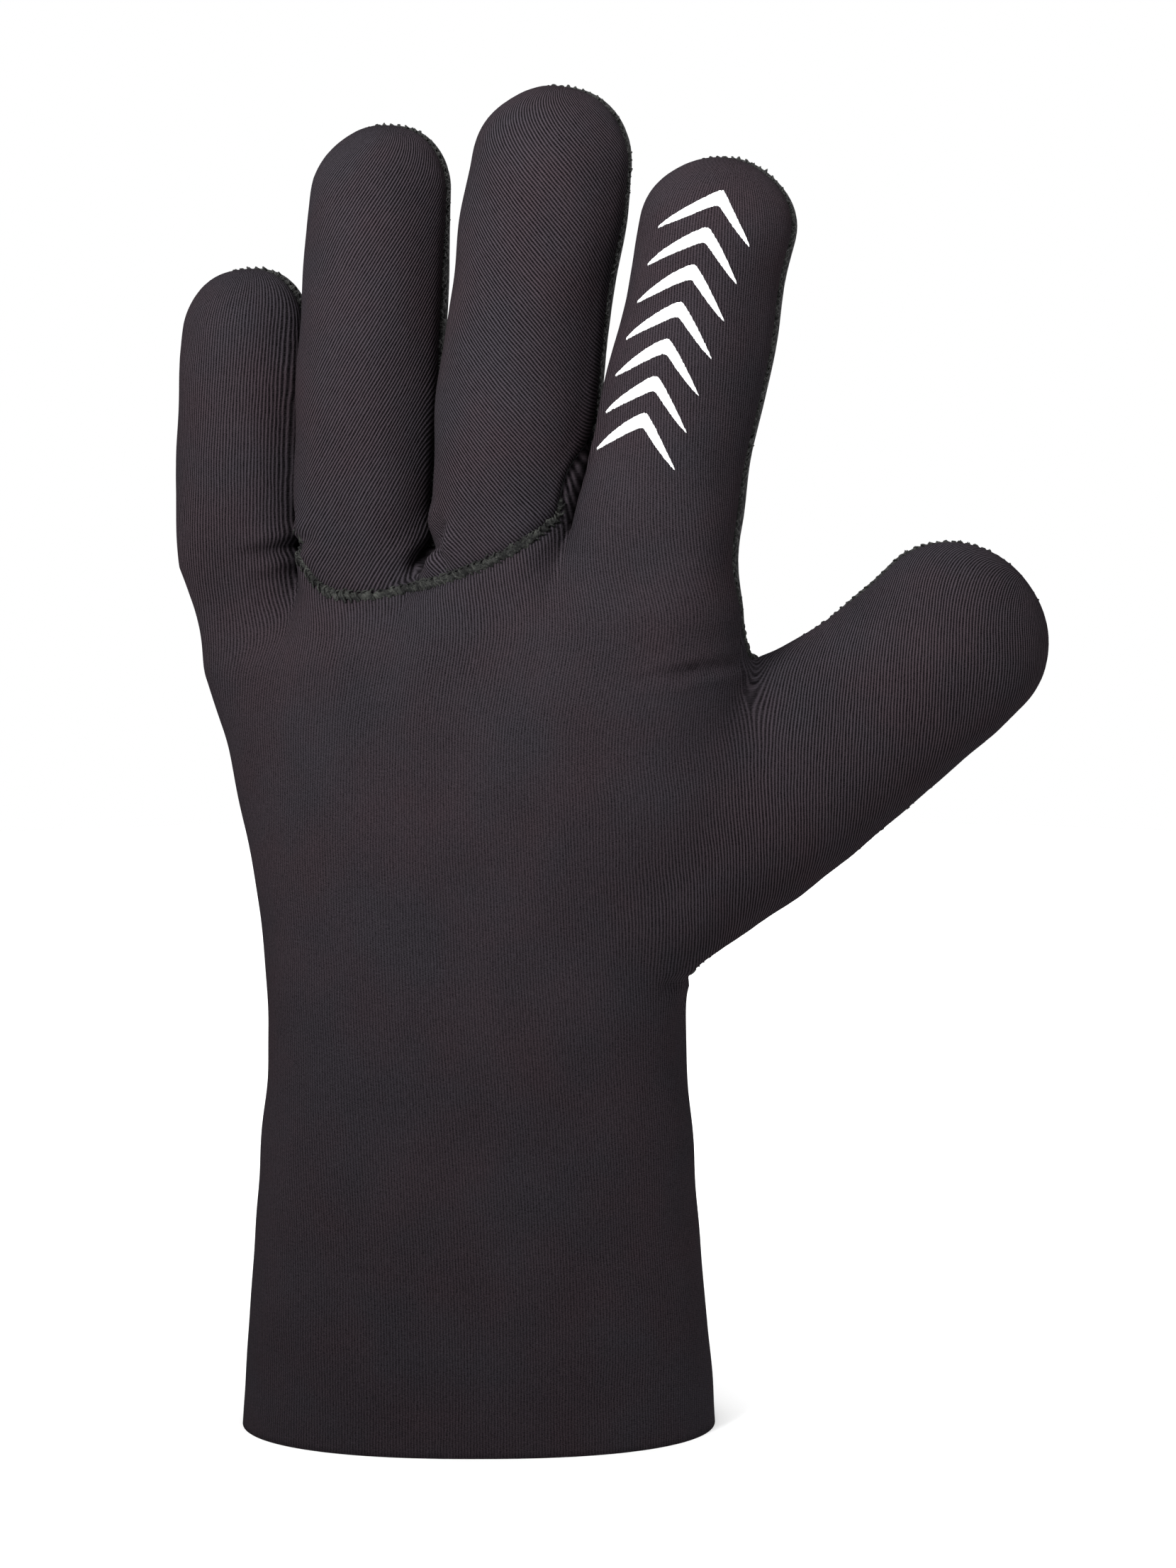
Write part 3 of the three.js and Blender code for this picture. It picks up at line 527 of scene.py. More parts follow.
def split_faces(corners, faces, labels, field, picked, above, below, snap=0.3):
    """Cuts the picked faces where a field changes sign and labels the two sides. Corners near the line are
    moved onto it first, so that no thin faces are left."""
    value = field(corners).copy()
    chosen = labels == picked
    edges = edges_of(faces[chosen])
    ways = np.concatenate([edges, edges[:, ::-1]])
    a, b = value[ways[:, 0]], value[ways[:, 1]]
    share = np.where((a < 0) != (b < 0), a / np.where(a == b, 1, a - b), 1)
    order = np.argsort(share, kind="stable")
    ways, share = ways[order], share[order]
    start, first = np.unique(ways[:, 0], return_index=True)
    near = share[first] < snap
    start, first = start[near], first[near]
    corners = corners.copy()
    target = corners[ways[first, 1]]
    corners[start] += share[first][:, None] * (target - corners[start])
    value[start] = 0

    sign = np.sign(value).astype(int)[faces]
    cut = chosen & (sign.min(axis=1) < 0) & (sign.max(axis=1) > 0)
    whole = chosen & ~cut
    total = sign.sum(axis=1)
    middle = corners[faces[whole]].mean(axis=1)
    up = np.where(total[whole] != 0, total[whole] > 0, field(middle) > 0)
    labels = labels.copy()
    labels[whole] = np.where(up, above, below)

    made, made_labels = [faces[~cut]], [labels[~cut]]
    f, s = faces[cut], sign[cut]
    pairs = np.sort(np.concatenate([f[:, [0, 1]], f[:, [1, 2]], f[:, [2, 0]]]), axis=1)
    pairs = pairs[np.prod(np.sign(value)[pairs], axis=1) < 0]
    pairs = np.unique(pairs, axis=0)
    t = value[pairs[:, 0]] / (value[pairs[:, 0]] - value[pairs[:, 1]])
    added = corners[pairs[:, 0]] + t[:, None] * (corners[pairs[:, 1]] - corners[pairs[:, 0]])
    key = pairs[:, 0] * len(corners) + pairs[:, 1]

    def on_edge(m, n):
        low, high = np.minimum(m, n), np.maximum(m, n)
        return len(corners) + np.searchsorted(key, low * len(corners) + high)

    def keep(new, is_above):
        made.append(new)
        made_labels.append(np.where(is_above, above, below))

    through = (s == 0).any(axis=1)
    alone = s * s.sum(axis=1, keepdims=True) < 0
    lead = np.where(through, np.argmax(s == 0, axis=1), np.argmax(alone, axis=1))
    rolled = np.take_along_axis(f, (lead[:, None] + np.arange(3)) % 3, axis=1)
    a, b, c = rolled[through].T
    m = on_edge(b, c)
    keep(np.stack([a, b, m], axis=1), value[b] > 0)
    keep(np.stack([a, m, c], axis=1), value[c] > 0)
    a, b, c = rolled[~through].T
    m, n = on_edge(a, b), on_edge(a, c)
    keep(np.stack([a, m, n], axis=1), value[a] > 0)
    keep(np.stack([m, b, c], axis=1), value[a] < 0)
    keep(np.stack([m, c, n], axis=1), value[a] < 0)
    return np.concatenate([corners, added]), np.concatenate(made), np.concatenate(made_labels)


def bell(apart, wide):
    """A bell curve: one in its middle, falling off over a width as e to the minus square."""
    return np.exp(-((apart / wide) ** 2))


def near_each(p, soft=4.0):
    """How near points are to fingers, thumb and hand, as weights that add up to one."""
    apart = [finger_distance(f, p) for f in fingers] + [thumb_distance(p), hand_distance(p)]
    weights = np.exp((np.min(apart, axis=0) - apart) / soft)
    return weights / weights.sum(axis=0)


def palm_side(p):
    """Above zero on the palm side of the side seams: how deep a point lies past the seam of each tube, blended
    by how near the tubes are, and less in the web by the thumb."""
    sides = []
    for f in fingers:
        along, across, deep = in_finger(f, p)
        size = finger_size(f, along)
        turn = np.where(across < 0, side_seam_turn, side_seam_right)
        sides.append(deep + turn * size[1] * across / size[0])
    along, across, deep = in_thumb(p)
    size = thumb_size(along)
    sides.append(deep - side_seam_turn * size[1] * across / size[0])
    middle, wide, deep, arch = hand_size(p[..., 2])
    turn = np.where(p[..., 0] < middle, side_seam_turn, side_seam_right)
    sides.append(p[..., 1] + (turn * deep / wide - arch) * (p[..., 0] - middle))
    from_web = np.hypot(p[..., 0] - web_place[0], p[..., 2] - web_place[1])
    return np.sum(near_each(p) * sides, axis=0) - web_seam_lift * bell(from_web, web_seam_reach)


def palm_panel_field(p):
    """Above zero on the palm panel."""
    return np.minimum(palm_side(p), p[..., 2] - palm_seam_z)


def middle_panel_field(p):
    """Above zero on the panel of the ring and middle finger: the least of the height above the knuckle arc and
    the ways in from the two gaps, which count for more."""
    x, z = p[..., 0], p[..., 2]
    margins = [web_margin * (1 - ease((z - knuckle_z - start) / web_fade)) for start in web_fade_from]
    left, right = gap_x(0, z) + margins[0], gap_x(2, z) - margins[1]
    above = z - (knuckle_z + palm_length * read(knuckle_arc, "rise", (x - left) / (right - left)))
    steep = 3
    return np.min([above, steep * (x - left), steep * (right - x)], axis=0)


def lumps(p):
    """Soft unevenness of thick neoprene: a sum of slow waves in many directions."""
    draw = np.random.default_rng(7)
    total = np.zeros(len(p))
    for length, height in lump_waves:
        for _ in range(waves_in_set):
            way = unit(draw.normal(size=3))
            total += height * np.sin(2 * np.pi * (p @ way) / length + draw.uniform(0, 2 * np.pi))
    return total / lump_calm


def crease_depth(p):
    """Folds pressed into the back of the hand: each follows a bowed line in the front view, fades out at both
    ends and has a low swelling on both sides."""
    total = np.zeros(len(p))
    flat = p[:, [0, 2]]
    for line in creases:
        start, end, w = np.array(line["start"]), np.array(line["end"]), line["wide"]
        span = end - start
        side = np.array([-span[1], span[0]]) / np.hypot(*span)
        t = np.clip((flat - start) @ span / (span @ span), 0, 1)
        foot = start + t[:, None] * span + (4 * line["bow"] * t * (1 - t))[:, None] * side
        apart = np.linalg.norm(flat - foot, axis=1)
        beside = bell(apart - crease_swelling["at"] * w, crease_swelling["wide"] * w)
        shape = bell(apart, w) - crease_swelling["high"] * beside
        total += line["deep"] * shape * np.sin(np.pi * t) ** crease_fade
    return total * (p[:, 1] < crease_back)


def pinch(apart, tight=1.0):
    """How a seam draws the neoprene in: a narrow valley on the seam and a soft swelling beside it."""
    swelling = seam_swelling["high"] * bell(apart - seam_swelling["at"], seam_swelling["wide"])
    return tight * (swelling - seam_valley["deep"] * bell(apart, seam_valley["wide"]))


def relief(p):
    """How far the finished cloth stands off the plain skin: lumps, folds and the pull of the seams."""
    side = palm_side(p)
    over_palm_end = p[:, 2] - palm_seam_z
    total = lumps(p) * ease(p[:, 2] / calm_rim) - crease_depth(p)
    total += pinch(np.abs(side)) * ease((over_palm_end + side_seam_below) / side_seam_grows_over)
    total += pinch(np.where(side < 0, np.abs(middle_panel_field(p)), far_from_seams), soft_pull)
    total += pinch(np.where(side < 0, far_from_seams, np.abs(over_palm_end)), soft_pull)
    return total


def round_hand(p):
    """Length round cuff and palm from their middle out to both sides, by a superellipse's own arc length."""
    half_turn = 360
    angle = np.linspace(-np.pi, np.pi, 2 * half_turn + 1)
    sin, cos = np.sin(angle), np.cos(angle)
    reach = (np.abs(sin) ** hand_corner + np.abs(cos) ** hand_corner) ** (-1 / hand_corner)
    spot = np.stack([reach * sin, -hand_flatness * reach * cos], axis=1)
    length = np.concatenate([[0], np.cumsum(np.linalg.norm(np.diff(spot, axis=0), axis=1))])
    length -= length[half_turn]
    middle, wide, deep, arch = hand_size(p[:, 2])
    at = np.arctan2((p[:, 0] - middle) / wide, np.abs(p[:, 1] - arch * p[:, 0]) / deep)
    return middle + wide * np.interp(at, angle, length)


def cloth_lines(p, is_middle_panel=False):
    """Where a point lies on the flat cloth, in millimetres: across the ribs and along them, then how crisp
    the ribs are there. The ribs run up the flat hand. Round each tube they are spread by what its arc is longer
    than its width, and that is blended by nearness."""
    weights = near_each(p, middle_cloth_blend if is_middle_panel else cloth_blend)
    rib, run = p[:, 0].copy(), p[:, 2].copy()
    tubes = [(in_finger(f, p), f["lean"], finger_size(f, in_finger(f, p)[0])) for f in fingers]
    tubes.append((in_thumb(p), thumb_lean, thumb_size(in_thumb(p)[0])))
    for weight, ((_, side, deep), lean, size) in zip(weights, tubes):
        angle = np.arctan2(side / size[0], np.abs(deep) / size[1])
        spread = size[0] * angle - np.clip(side, -size[0], size[0])
        rib += weight ** 2 * spread * math.cos(lean * degrees)
        run -= weight ** 2 * spread * math.sin(lean * degrees)
    hand = weights[-1] ** 2
    above_knuckles = p[:, 2] - knuckle_z
    leaning = rib_lean * ease((above_knuckles + rib_lean_below) / rib_lean_over)
    rib += hand * (round_hand(p) - p[:, 0]) - hand * leaning
    crisp = np.tensordot(rib_crispness, weights, 1)
    crisp = np.maximum(crisp, hand_crispness * hand * ease((above_knuckles + crisp_below) / crisp_over))
    if is_middle_panel:
        turn = np.where(p[:, 0] < gap_x(1, p[:, 2]), ring_rib_turn, middle_rib_turn) * degrees
        rib, run = rib * np.cos(turn) - run * np.sin(turn), rib * np.sin(turn) + run * np.cos(turn)
    return np.stack([rib, run, crisp], axis=1)


def solid(name, points, faces, kinds, finishes, cloth=None, flat_kinds=()):
    """A mesh object from points in metres, faces and the finish number of each face, on the glove's body."""
    mesh = bpy.data.meshes.new(name)
    mesh.from_pydata(points.tolist(), [], faces.tolist() if isinstance(faces, np.ndarray) else faces)
    for finish in finishes:
        mesh.materials.append(finish)
    kinds = np.asarray(kinds, dtype=np.int32)
    mesh.polygons.foreach_set("material_index", kinds)
    mesh.polygons.foreach_set("use_smooth", ~np.isin(kinds, flat_kinds))
    if cloth is not None:
        spots = mesh.attributes.new("cloth", "FLOAT_VECTOR", "POINT")
        spots.data.foreach_set("vector", cloth.astype(np.float32).ravel())
    mesh.update()
    piece = bpy.data.objects.new(name, mesh)
    bpy.context.scene.collection.objects.link(piece)
    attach(piece, "root")
    return piece


def open_sides(faces, count):
    """The edges that only one face has, each in that face's direction."""
    ways = np.concatenate([faces[:, [n, (n + 1) % faces.shape[1]]] for n in range(faces.shape[1])])
    key, back = ways[:, 0] * count + ways[:, 1], ways[:, 1] * count + ways[:, 0]
    return ways[~np.isin(key, back)]


def panel(name, node, number, shell, finishes):
    """A panel with its wall: its faces outside, the same faces one wall further in, and the cut edges between
    them, drawn back from the seams and sunk a little under the stitches."""
    used, faces = np.unique(shell["faces"][shell["labels"] == number], return_inverse=True)
    faces = faces.reshape(-1, 3)
    plain, normals = shell["plain"][used], shell["normals"][used]
    outer, inner = shell["outer"][used].copy(), shell["inner"][used].copy()
    count = len(used)
    rims = open_sides(faces, count)
    sewn = rims[~np.all(plain[rims][:, :, 2] == 0, axis=1)]
    for layer, sink in ((outer, edge_sink), (inner, 0.0)):
        along = unit(layer[sewn[:, 1]] - layer[sewn[:, 0]])
        shift = np.zeros_like(layer)
        for end in (0, 1):
            np.add.at(shift, sewn[:, end], np.cross(normals[sewn[:, end]], along))
        at_seam = (np.linalg.norm(shift, axis=1) > 0)[:, None]
        layer += unit(shift) * seam_gap / 2 * at_seam - normals * sink * at_seam
    a, b = rims.T
    walls = np.concatenate([np.stack([b, a, a + count], axis=1), np.stack([b, a + count, b + count], axis=1)])
    every = np.concatenate([faces, faces[:, ::-1] + count, walls])
    kinds = np.repeat([0, 1, 2], [len(faces), len(faces), len(walls)])
    cloth = np.tile(cloth_lines(plain, number == middle_panel), (2, 1))
    points = placed(np.concatenate([outer, inner]))
    piece = solid(name, points, every, kinds, finishes, cloth, flat_kinds=(2,))
    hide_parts(node)


back_panel, middle_panel, palm_panel, cut_off = 0, 1, 2, 9


def fine_skin():
    """The whole skin, meshed finely and split into panels along the seams: its corners on the plain skin, on
    the finished outside and one wall further in, its faces, and the number of each face's panel."""
    corners, faces = mesh_skin()
    corners = onto_skin(corners, 3)
    edges = edges_of(faces)
    for _ in range(2):
        corners = onto_skin(evened(corners, edges, 0.5, 1), 1)
    labels = np.zeros(len(faces), dtype=int)
    corners, faces, labels = split_faces(corners, faces, labels, lambda p: p[:, 2], 0, 0, cut_off)
    used, faces = np.unique(faces[labels == 0], return_inverse=True)
    corners, faces = corners[used], faces.reshape(-1, 3)
    labels = np.zeros(len(faces), dtype=int)
    corners[np.abs(corners[:, 2]) < 1e-6, 2] = 0
    corners, faces, labels = split_faces(corners, faces, labels, palm_panel_field, 0, palm_panel, back_panel)
    corners, faces, labels = split_faces(
        corners, faces, labels, middle_panel_field, back_panel, middle_panel, back_panel)
    on_rim = corners[:, 2] == 0
    normals = outward(corners)
    normals[on_rim, 2] = 0
    normals = unit(normals)
    outer = corners + normals * relief(corners)[:, None]
    inner = corners - normals * wall
    inner = np.where(on_rim[:, None], inner, evened(inner, edges_of(faces), 0.5, 4))
    return dict(plain=corners, outer=outer, inner=inner, normals=normals, faces=faces, labels=labels)


def onto_seam(field, p, rounds=1):
    """Points moved onto the line where the skin and a seam's field are both zero."""
    for _ in range(rounds):
        for each in (skin, field):
            g = gradient(each, p)
            slope = np.maximum(0.2, np.sum(g * g, axis=-1))
            p = p - np.clip(each(p) / slope, -2, 2)[:, None] * g
    return p


def walked(field, starts, ways, count, step=0.8):
    """Lines along a seam, walked in equal steps from each start: the way on is at right angles to the slopes
    of the skin and of the seam's field."""
    p = onto_seam(field, np.array(starts, float), 4)
    line = [p]
    for _ in range(count):
        along = unit(np.cross(gradient(skin, p), gradient(field, p))) * np.asarray(ways)[:, None]
        p = onto_seam(field, p + step * along)
        line.append(p)
    return np.moveaxis(np.array(line), 1, 0)


def side_seam():
    """The side seam in one line: up the little finger's outer side, over every fingertip, down the thumb. It
    has a start on both sides of each finger and of the thumb, and is walked from each start to the next."""
    starts = []
    start_at = 0.45
    most_steps = 210
    for f in fingers:
        for sign in (-1, 1):
            along = start_at * f["length"]
            wide, deep, _ = finger_size(f, along)
            lean = f["lean"] * degrees
            starts.append([
                f["x"] + along * math.sin(lean) + sign * wide * math.cos(lean),
                f["y"] + f["curl"] * start_at ** curl_power - sign * side_seam_turn * deep,
                knuckle_z + along * math.cos(lean) - sign * wide * math.sin(lean),
            ])
    for sign in (-1, 1):
        along = thumb_length / 2
        wide, deep = thumb_size(along)
        spot = thumb_root + along * thumb_along + sign * wide * thumb_across
        starts.append(spot + sign * side_seam_turn * deep * thumb_deep)
    starts = onto_seam(palm_side, np.array(starts), 4)
    way = np.cross(gradient(skin, starts[:1]), gradient(palm_side, starts[:1]))[0, 2]
    forward = 1.0 if way > 0 else -1.0
    lines = walked(palm_side, starts, [forward] * len(starts), most_steps)
    parts = []
    for n, line in enumerate(lines[:-1]):
        parts.append(line[:np.argmin(np.linalg.norm(line - starts[n + 1], axis=1))])
    parts.append(lines[-1][:np.argmax(lines[-1][:, 2] < palm_seam_z)])
    first = walked(palm_side, starts[:1], [-forward], most_steps)[0]
    return np.concatenate([first[:np.argmax(first[:, 2] < palm_seam_z)][:0:-1], *parts])


def crossing_seam(field, start, ended):
    """A seam walked both ways from its middle, until a test says that it has ended."""
    most_steps = 150
    lines = walked(field, [start, start], [1.0, -1.0], most_steps)
    there, back = (line[:np.argmax(ended(line))] for line in lines)
    line = np.concatenate([back[:0:-1], there])
    return line if line[0, 0] < line[-1, 0] else line[::-1]


def stepped(line, step):
    """A line cut into equal steps, and the length up to each."""
    length = np.concatenate([[0], np.cumsum(np.linalg.norm(np.diff(line, axis=0), axis=1))])
    at = np.linspace(0, length[-1], max(2, int(length[-1] / step)))
    return np.stack([np.interp(at, length, line[:, n]) for n in range(3)], axis=1), at


def uneven(count, rounds, draw):
    """Random values along a line, smoothed along it a few times, with a spread of one."""
    values = draw.normal(size=count)
    for _ in range(rounds):
        values = np.convolve(np.pad(values, 1, mode="edge"), [0.25, 0.5, 0.25], mode="valid")
    return values / values.std()


def cord_mesh(centre, first, second, around, swell=None):
    """A closed tube along a line, in metres: rings spanned by two vectors at each point of the flat hand, and
    a pole at both ends. A swelling, if there is one, scales how far out each corner stands."""
    count = len(centre)
    angle = 2 * np.pi * np.arange(around) / around
    ring = np.cos(angle)[None, :, None] * first[:, None] + np.sin(angle)[None, :, None] * second[:, None]
    if swell is not None:
        ring = ring * swell[..., None]
    points = placed(np.concatenate([(centre[:, None] + ring).reshape(-1, 3), centre[:1], centre[-1:]]))
    i, j = np.meshgrid(np.arange(count - 1), np.arange(around), indexing="ij")
    a, b = i * around + j, i * around + (j + 1) % around
    quads = np.stack([a, b, b + around, a + around], axis=-1).reshape(-1, 4)
    j = np.arange(around)
    last = (count - 1) * around
    start = np.stack([np.full(around, count * around), (j + 1) % around, j], axis=1)
    end = np.stack([np.full(around, count * around + 1), last + j, last + (j + 1) % around], axis=1)
    return points, quads.tolist() + start.tolist() + end.tolist()


def seam_bead(name, line, wide, high, pitch, finish, seed):
    """The raised rope of a sewn seam: an ellipse carried along the seam, swelling and shifting a little with
    every stitch, twisted and crumbly, and thin at both ends."""
    draw = np.random.default_rng(seed)
    points, at = stepped(line, rope_step)
    count = len(at)
    up = outward(points)
    side = unit(np.cross(np.gradient(points, axis=0), up))
    bump = 0.5 + 0.5 * np.cos(2 * np.pi * at / pitch)
    taper = np.clip(np.minimum(at, at[-1] - at) / rope_taper, 0.05, 1) ** 0.5
    plain, swelling, rough = rope_width
    width = wide / 2 * (plain + swelling * bump + rough * uneven(count, 3, draw)) * taper
    plain, swelling, rough = rope_height
    height = high * (plain + swelling * bump + rough * uneven(count, 3, draw)) * taper
    wander = rope_wander * uneven(count, 5, draw)
    centre = points + (relief(points) - rope_sink)[:, None] * up + wander[:, None] * side
    angle = 2 * np.pi * np.arange(rope_sides) / rope_sides
    stitch = 2 * np.pi * at[:, None] / pitch
    twist = rope_twist * np.cos(2 * angle - stitch + twist_wander * uneven(count, 60, draw)[:, None])
    crumbs = 1 + (twist + rope_crumbs * draw.normal(size=(count, rope_sides))) * (taper > 0.9)[:, None]
    mesh, faces = cord_mesh(centre, up * height[:, None], side * width[:, None], rope_sides, crumbs)
    solid(name, mesh, faces, np.zeros(len(faces)), [finish])


def seam_thread(name, line, wide, high, pitch, thick, finish, seed, aside=0.0):
    """The sewing thread: a tube that winds round the seam's rope once a stitch and drifts to and fro along
    it, so that its upper halves show as slanting loops."""
    draw = np.random.default_rng(seed)
    points, at = stepped(line, pitch / thread_steps)
    count = len(at)
    up = outward(points)
    side = unit(np.cross(np.gradient(points, axis=0), up))
    turn = 2 * np.pi * at / pitch + turn_wander * uneven(count, 40, draw)
    loose = 1 + loop_wander * uneven(count, 40, draw)
    across = aside + wide / 2 * loose * np.cos(turn)
    rise = relief(points) - rope_sink + high * loose * np.sin(turn)
    drift = pitch * thread_drift * np.sin(2 * turn + drift_lag) + drift_wander * uneven(count, 12, draw)
    way = unit(np.gradient(points, axis=0))
    centre = points + rise[:, None] * up + across[:, None] * side + drift[:, None] * way
    along = unit(np.gradient(centre, axis=0))
    nearly_up = up + 0.01
    first = unit(np.cross(along, nearly_up)) * thick / 2
    second = np.cross(along, first)
    mesh, faces = cord_mesh(centre, second, first, thread_sides)
    solid(name, mesh, faces, np.zeros(len(faces)), [finish])


def on_index(along, round_it):
    """Points on the back of the index finger: along it, and a length round it from its middle line."""
    index = fingers[3]
    wide, deep, _ = finger_size(index, along)
    bend = index["curl"] * np.maximum(0, along / index["length"]) ** curl_power
    sin, cos = math.sin(index["lean"] * degrees), math.cos(index["lean"] * degrees)
    end = index["width"] / 2 * fingertip_round
    over = np.maximum(0, along - (index["length"] - end)) / end
    shrink = np.sqrt(np.maximum(0.1, 1 - over * over))
    across = shrink * wide * np.sin(round_it / wide)
    spot = np.stack([
        index["x"] + along * sin + across * cos,
        index["y"] + bend - shrink * deep * np.cos(round_it / wide),
        knuckle_z + along * cos - across * sin,
    ], axis=-1)
    return onto_skin(spot, 4)


def chevron(number, finish):
    """One printed chevron: a grid of two arms that taper from the bend to a point, its edges a little ragged
    where the print breaks over the ribs, closed to a thin film."""
    draw = np.random.default_rng(40 + number)
    columns, rows = 91, 9
    share = np.linspace(-1, 1, columns)
    size = np.abs(share)
    top = chevron_top * fingers[3]["length"] - number * chevron_pitch
    arm = np.where(share < 0, chevron_left, chevron_right)
    round_it = chevron_side - number * chevron_drift + share * arm
    drop = chevron_drop * (np.sqrt(size ** 2 + chevron_bend ** 2) - chevron_bend) ** chevron_bow
    weight = chevron_weight * (1 - chevron_taper * size ** taper_power)
    upper = top - drop + chevron_ragged * draw.normal(size=columns)
    lower = top - drop - weight + chevron_ragged * draw.normal(size=columns)
    t = np.linspace(0, 1, rows)
    along = upper[:, None] + (lower - upper)[:, None] * t
    spots = on_index(along.ravel(), np.repeat(round_it, rows))
    up = outward(spots)
    edge = np.minimum(t, 1 - t)[None] * weight[:, None]
    dome = np.clip(edge / film_edge, 0, 1) ** 0.5 * np.clip((1 - size) / film_tip, 0, 1)[:, None] ** 0.5
    stand = relief(spots)
    outside = spots + up * (stand + film_lift + film_thickness * dome.ravel())[:, None]
    inside = spots + up * (stand + film_bottom)[:, None]
    i, j = np.meshgrid(np.arange(columns - 1), np.arange(rows - 1), indexing="ij")
    a = (i * rows + j).ravel()
    face = np.stack([a, a + 1, a + rows + 1, a + rows], axis=1)
    count = columns * rows
    rims = open_sides(face, count)
    walls = np.stack([rims[:, 1], rims[:, 0], rims[:, 0] + count, rims[:, 1] + count], axis=1)
    faces = np.concatenate([face, face[:, ::-1] + count, walls])
    points = placed(np.concatenate([outside, inside]))
    cloth = np.tile(cloth_lines(spots), (2, 1))
    piece = solid(f"chevron_print_{number + 1}", points, faces, np.zeros(len(faces)), [finish], cloth)
    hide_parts(f"chevron_{number + 1}")


class Finish:
    """A material put together from nodes in short steps."""

    def __init__(self, name):
        self.material = bpy.data.materials.new(name)
        self.material.use_nodes = True
        self.nodes, self.links = self.material.node_tree.nodes, self.material.node_tree.links
        self.shader = next(n for n in self.nodes if n.type == "BSDF_PRINCIPLED")

    def set(self, socket, value):
        """Puts a value, or another node's output, on a socket."""
        if isinstance(value, bpy.types.NodeSocket):
            self.links.new(value, socket)
        else:
            socket.default_value = value

    def add(self, kind, inputs=(), **settings):
        """A node with its settings and inputs."""
        node = self.nodes.new(kind)
        for key, value in settings.items():
            setattr(node, key, value)
        for key, value in dict(inputs).items():
            self.set(node.inputs[key], value)
        return node

    def cloth(self):
        """The place on the flat cloth, in millimetres across and along the ribs."""
        return self.add("ShaderNodeAttribute", attribute_name="cloth").outputs["Vector"]

    def place(self):
        """The place in the object, in metres."""
        return self.add("ShaderNodeTexCoord").outputs["Object"]

    def scaled(self, vector, by):
        """A vector times another."""
        return self.add("ShaderNodeVectorMath", {0: vector, 1: by}, operation="MULTIPLY").outputs["Vector"]

    def sum(self, operation, a, b=0.0, c=0.0):
        """A sum on two or three values."""
        return self.add("ShaderNodeMath", {0: a, 1: b, 2: c}, operation=operation).outputs[0]

    def noise(self, vector, scale, detail=2.0, rough=0.5):
        """Soft noise, mostly between 0.3 and 0.7."""
        inputs = {"Vector": vector, "Scale": scale, "Detail": detail, "Roughness": rough}
        return self.add("ShaderNodeTexNoise", inputs).outputs["Fac"]

    def between(self, value, low, high):
        """A value's place between a low and a high one, from 0 to 1."""
        made = self.add("ShaderNodeMapRange", {"Value": value, "From Min": low, "From Max": high})
        return made.outputs["Result"]

    def mix(self, share, a, b):
        """One colour turning into another."""
        made = self.add("ShaderNodeMix", data_type="RGBA")
        self.set(made.inputs[0], share)
        self.set(made.inputs[6], a)
        self.set(made.inputs[7], b)
        return made.outputs[2]

    def bumped(self, height, depth, normal=None):
        """A surface raised by a height in metres times a value."""
        inputs = {"Height": height, "Distance": depth, "Strength": 1.0}
        if normal is not None:
            inputs["Normal"] = normal
        return self.add("ShaderNodeBump", inputs).outputs["Normal"]

    def done(
        self, color, roughness, normal=None, sheen=0.0, sheen_roughness=0.5, tint=(1, 1, 1, 1), specular=0.5,
    ):
        """Connects the shader's sockets."""
        self.set(self.shader.inputs["Base Color"], color)
        self.set(self.shader.inputs["Roughness"], roughness)
        if normal is not None:
            self.set(self.shader.inputs["Normal"], normal)
        self.shader.inputs["Sheen Weight"].default_value = sheen
        self.shader.inputs["Sheen Roughness"].default_value = sheen_roughness
        self.shader.inputs["Sheen Tint"].default_value = tint
        self.shader.inputs["Specular IOR Level"].default_value = specular
        return self.material


def rib_wave(made, cloth):
    """Rows of knitted ribs, from 0 between them to 1 on them, each swaying a little; then the place across
    and along the ribs, and how crisp they are."""
    sway = made.noise(made.scaled(cloth, (0.35, 0.12, 0)), 1.0)
    across, along, crisp = made.add("ShaderNodeSeparateXYZ", {0: cloth}).outputs
    swayed = made.sum("ADD", across, made.sum("MULTIPLY", sway, 0.55))
    wave = made.sum("SINE", made.sum("MULTIPLY", swayed, 2 * math.pi / rib_pitch))
    return made.sum("MULTIPLY_ADD", wave, 0.5, 0.5), across, along, crisp


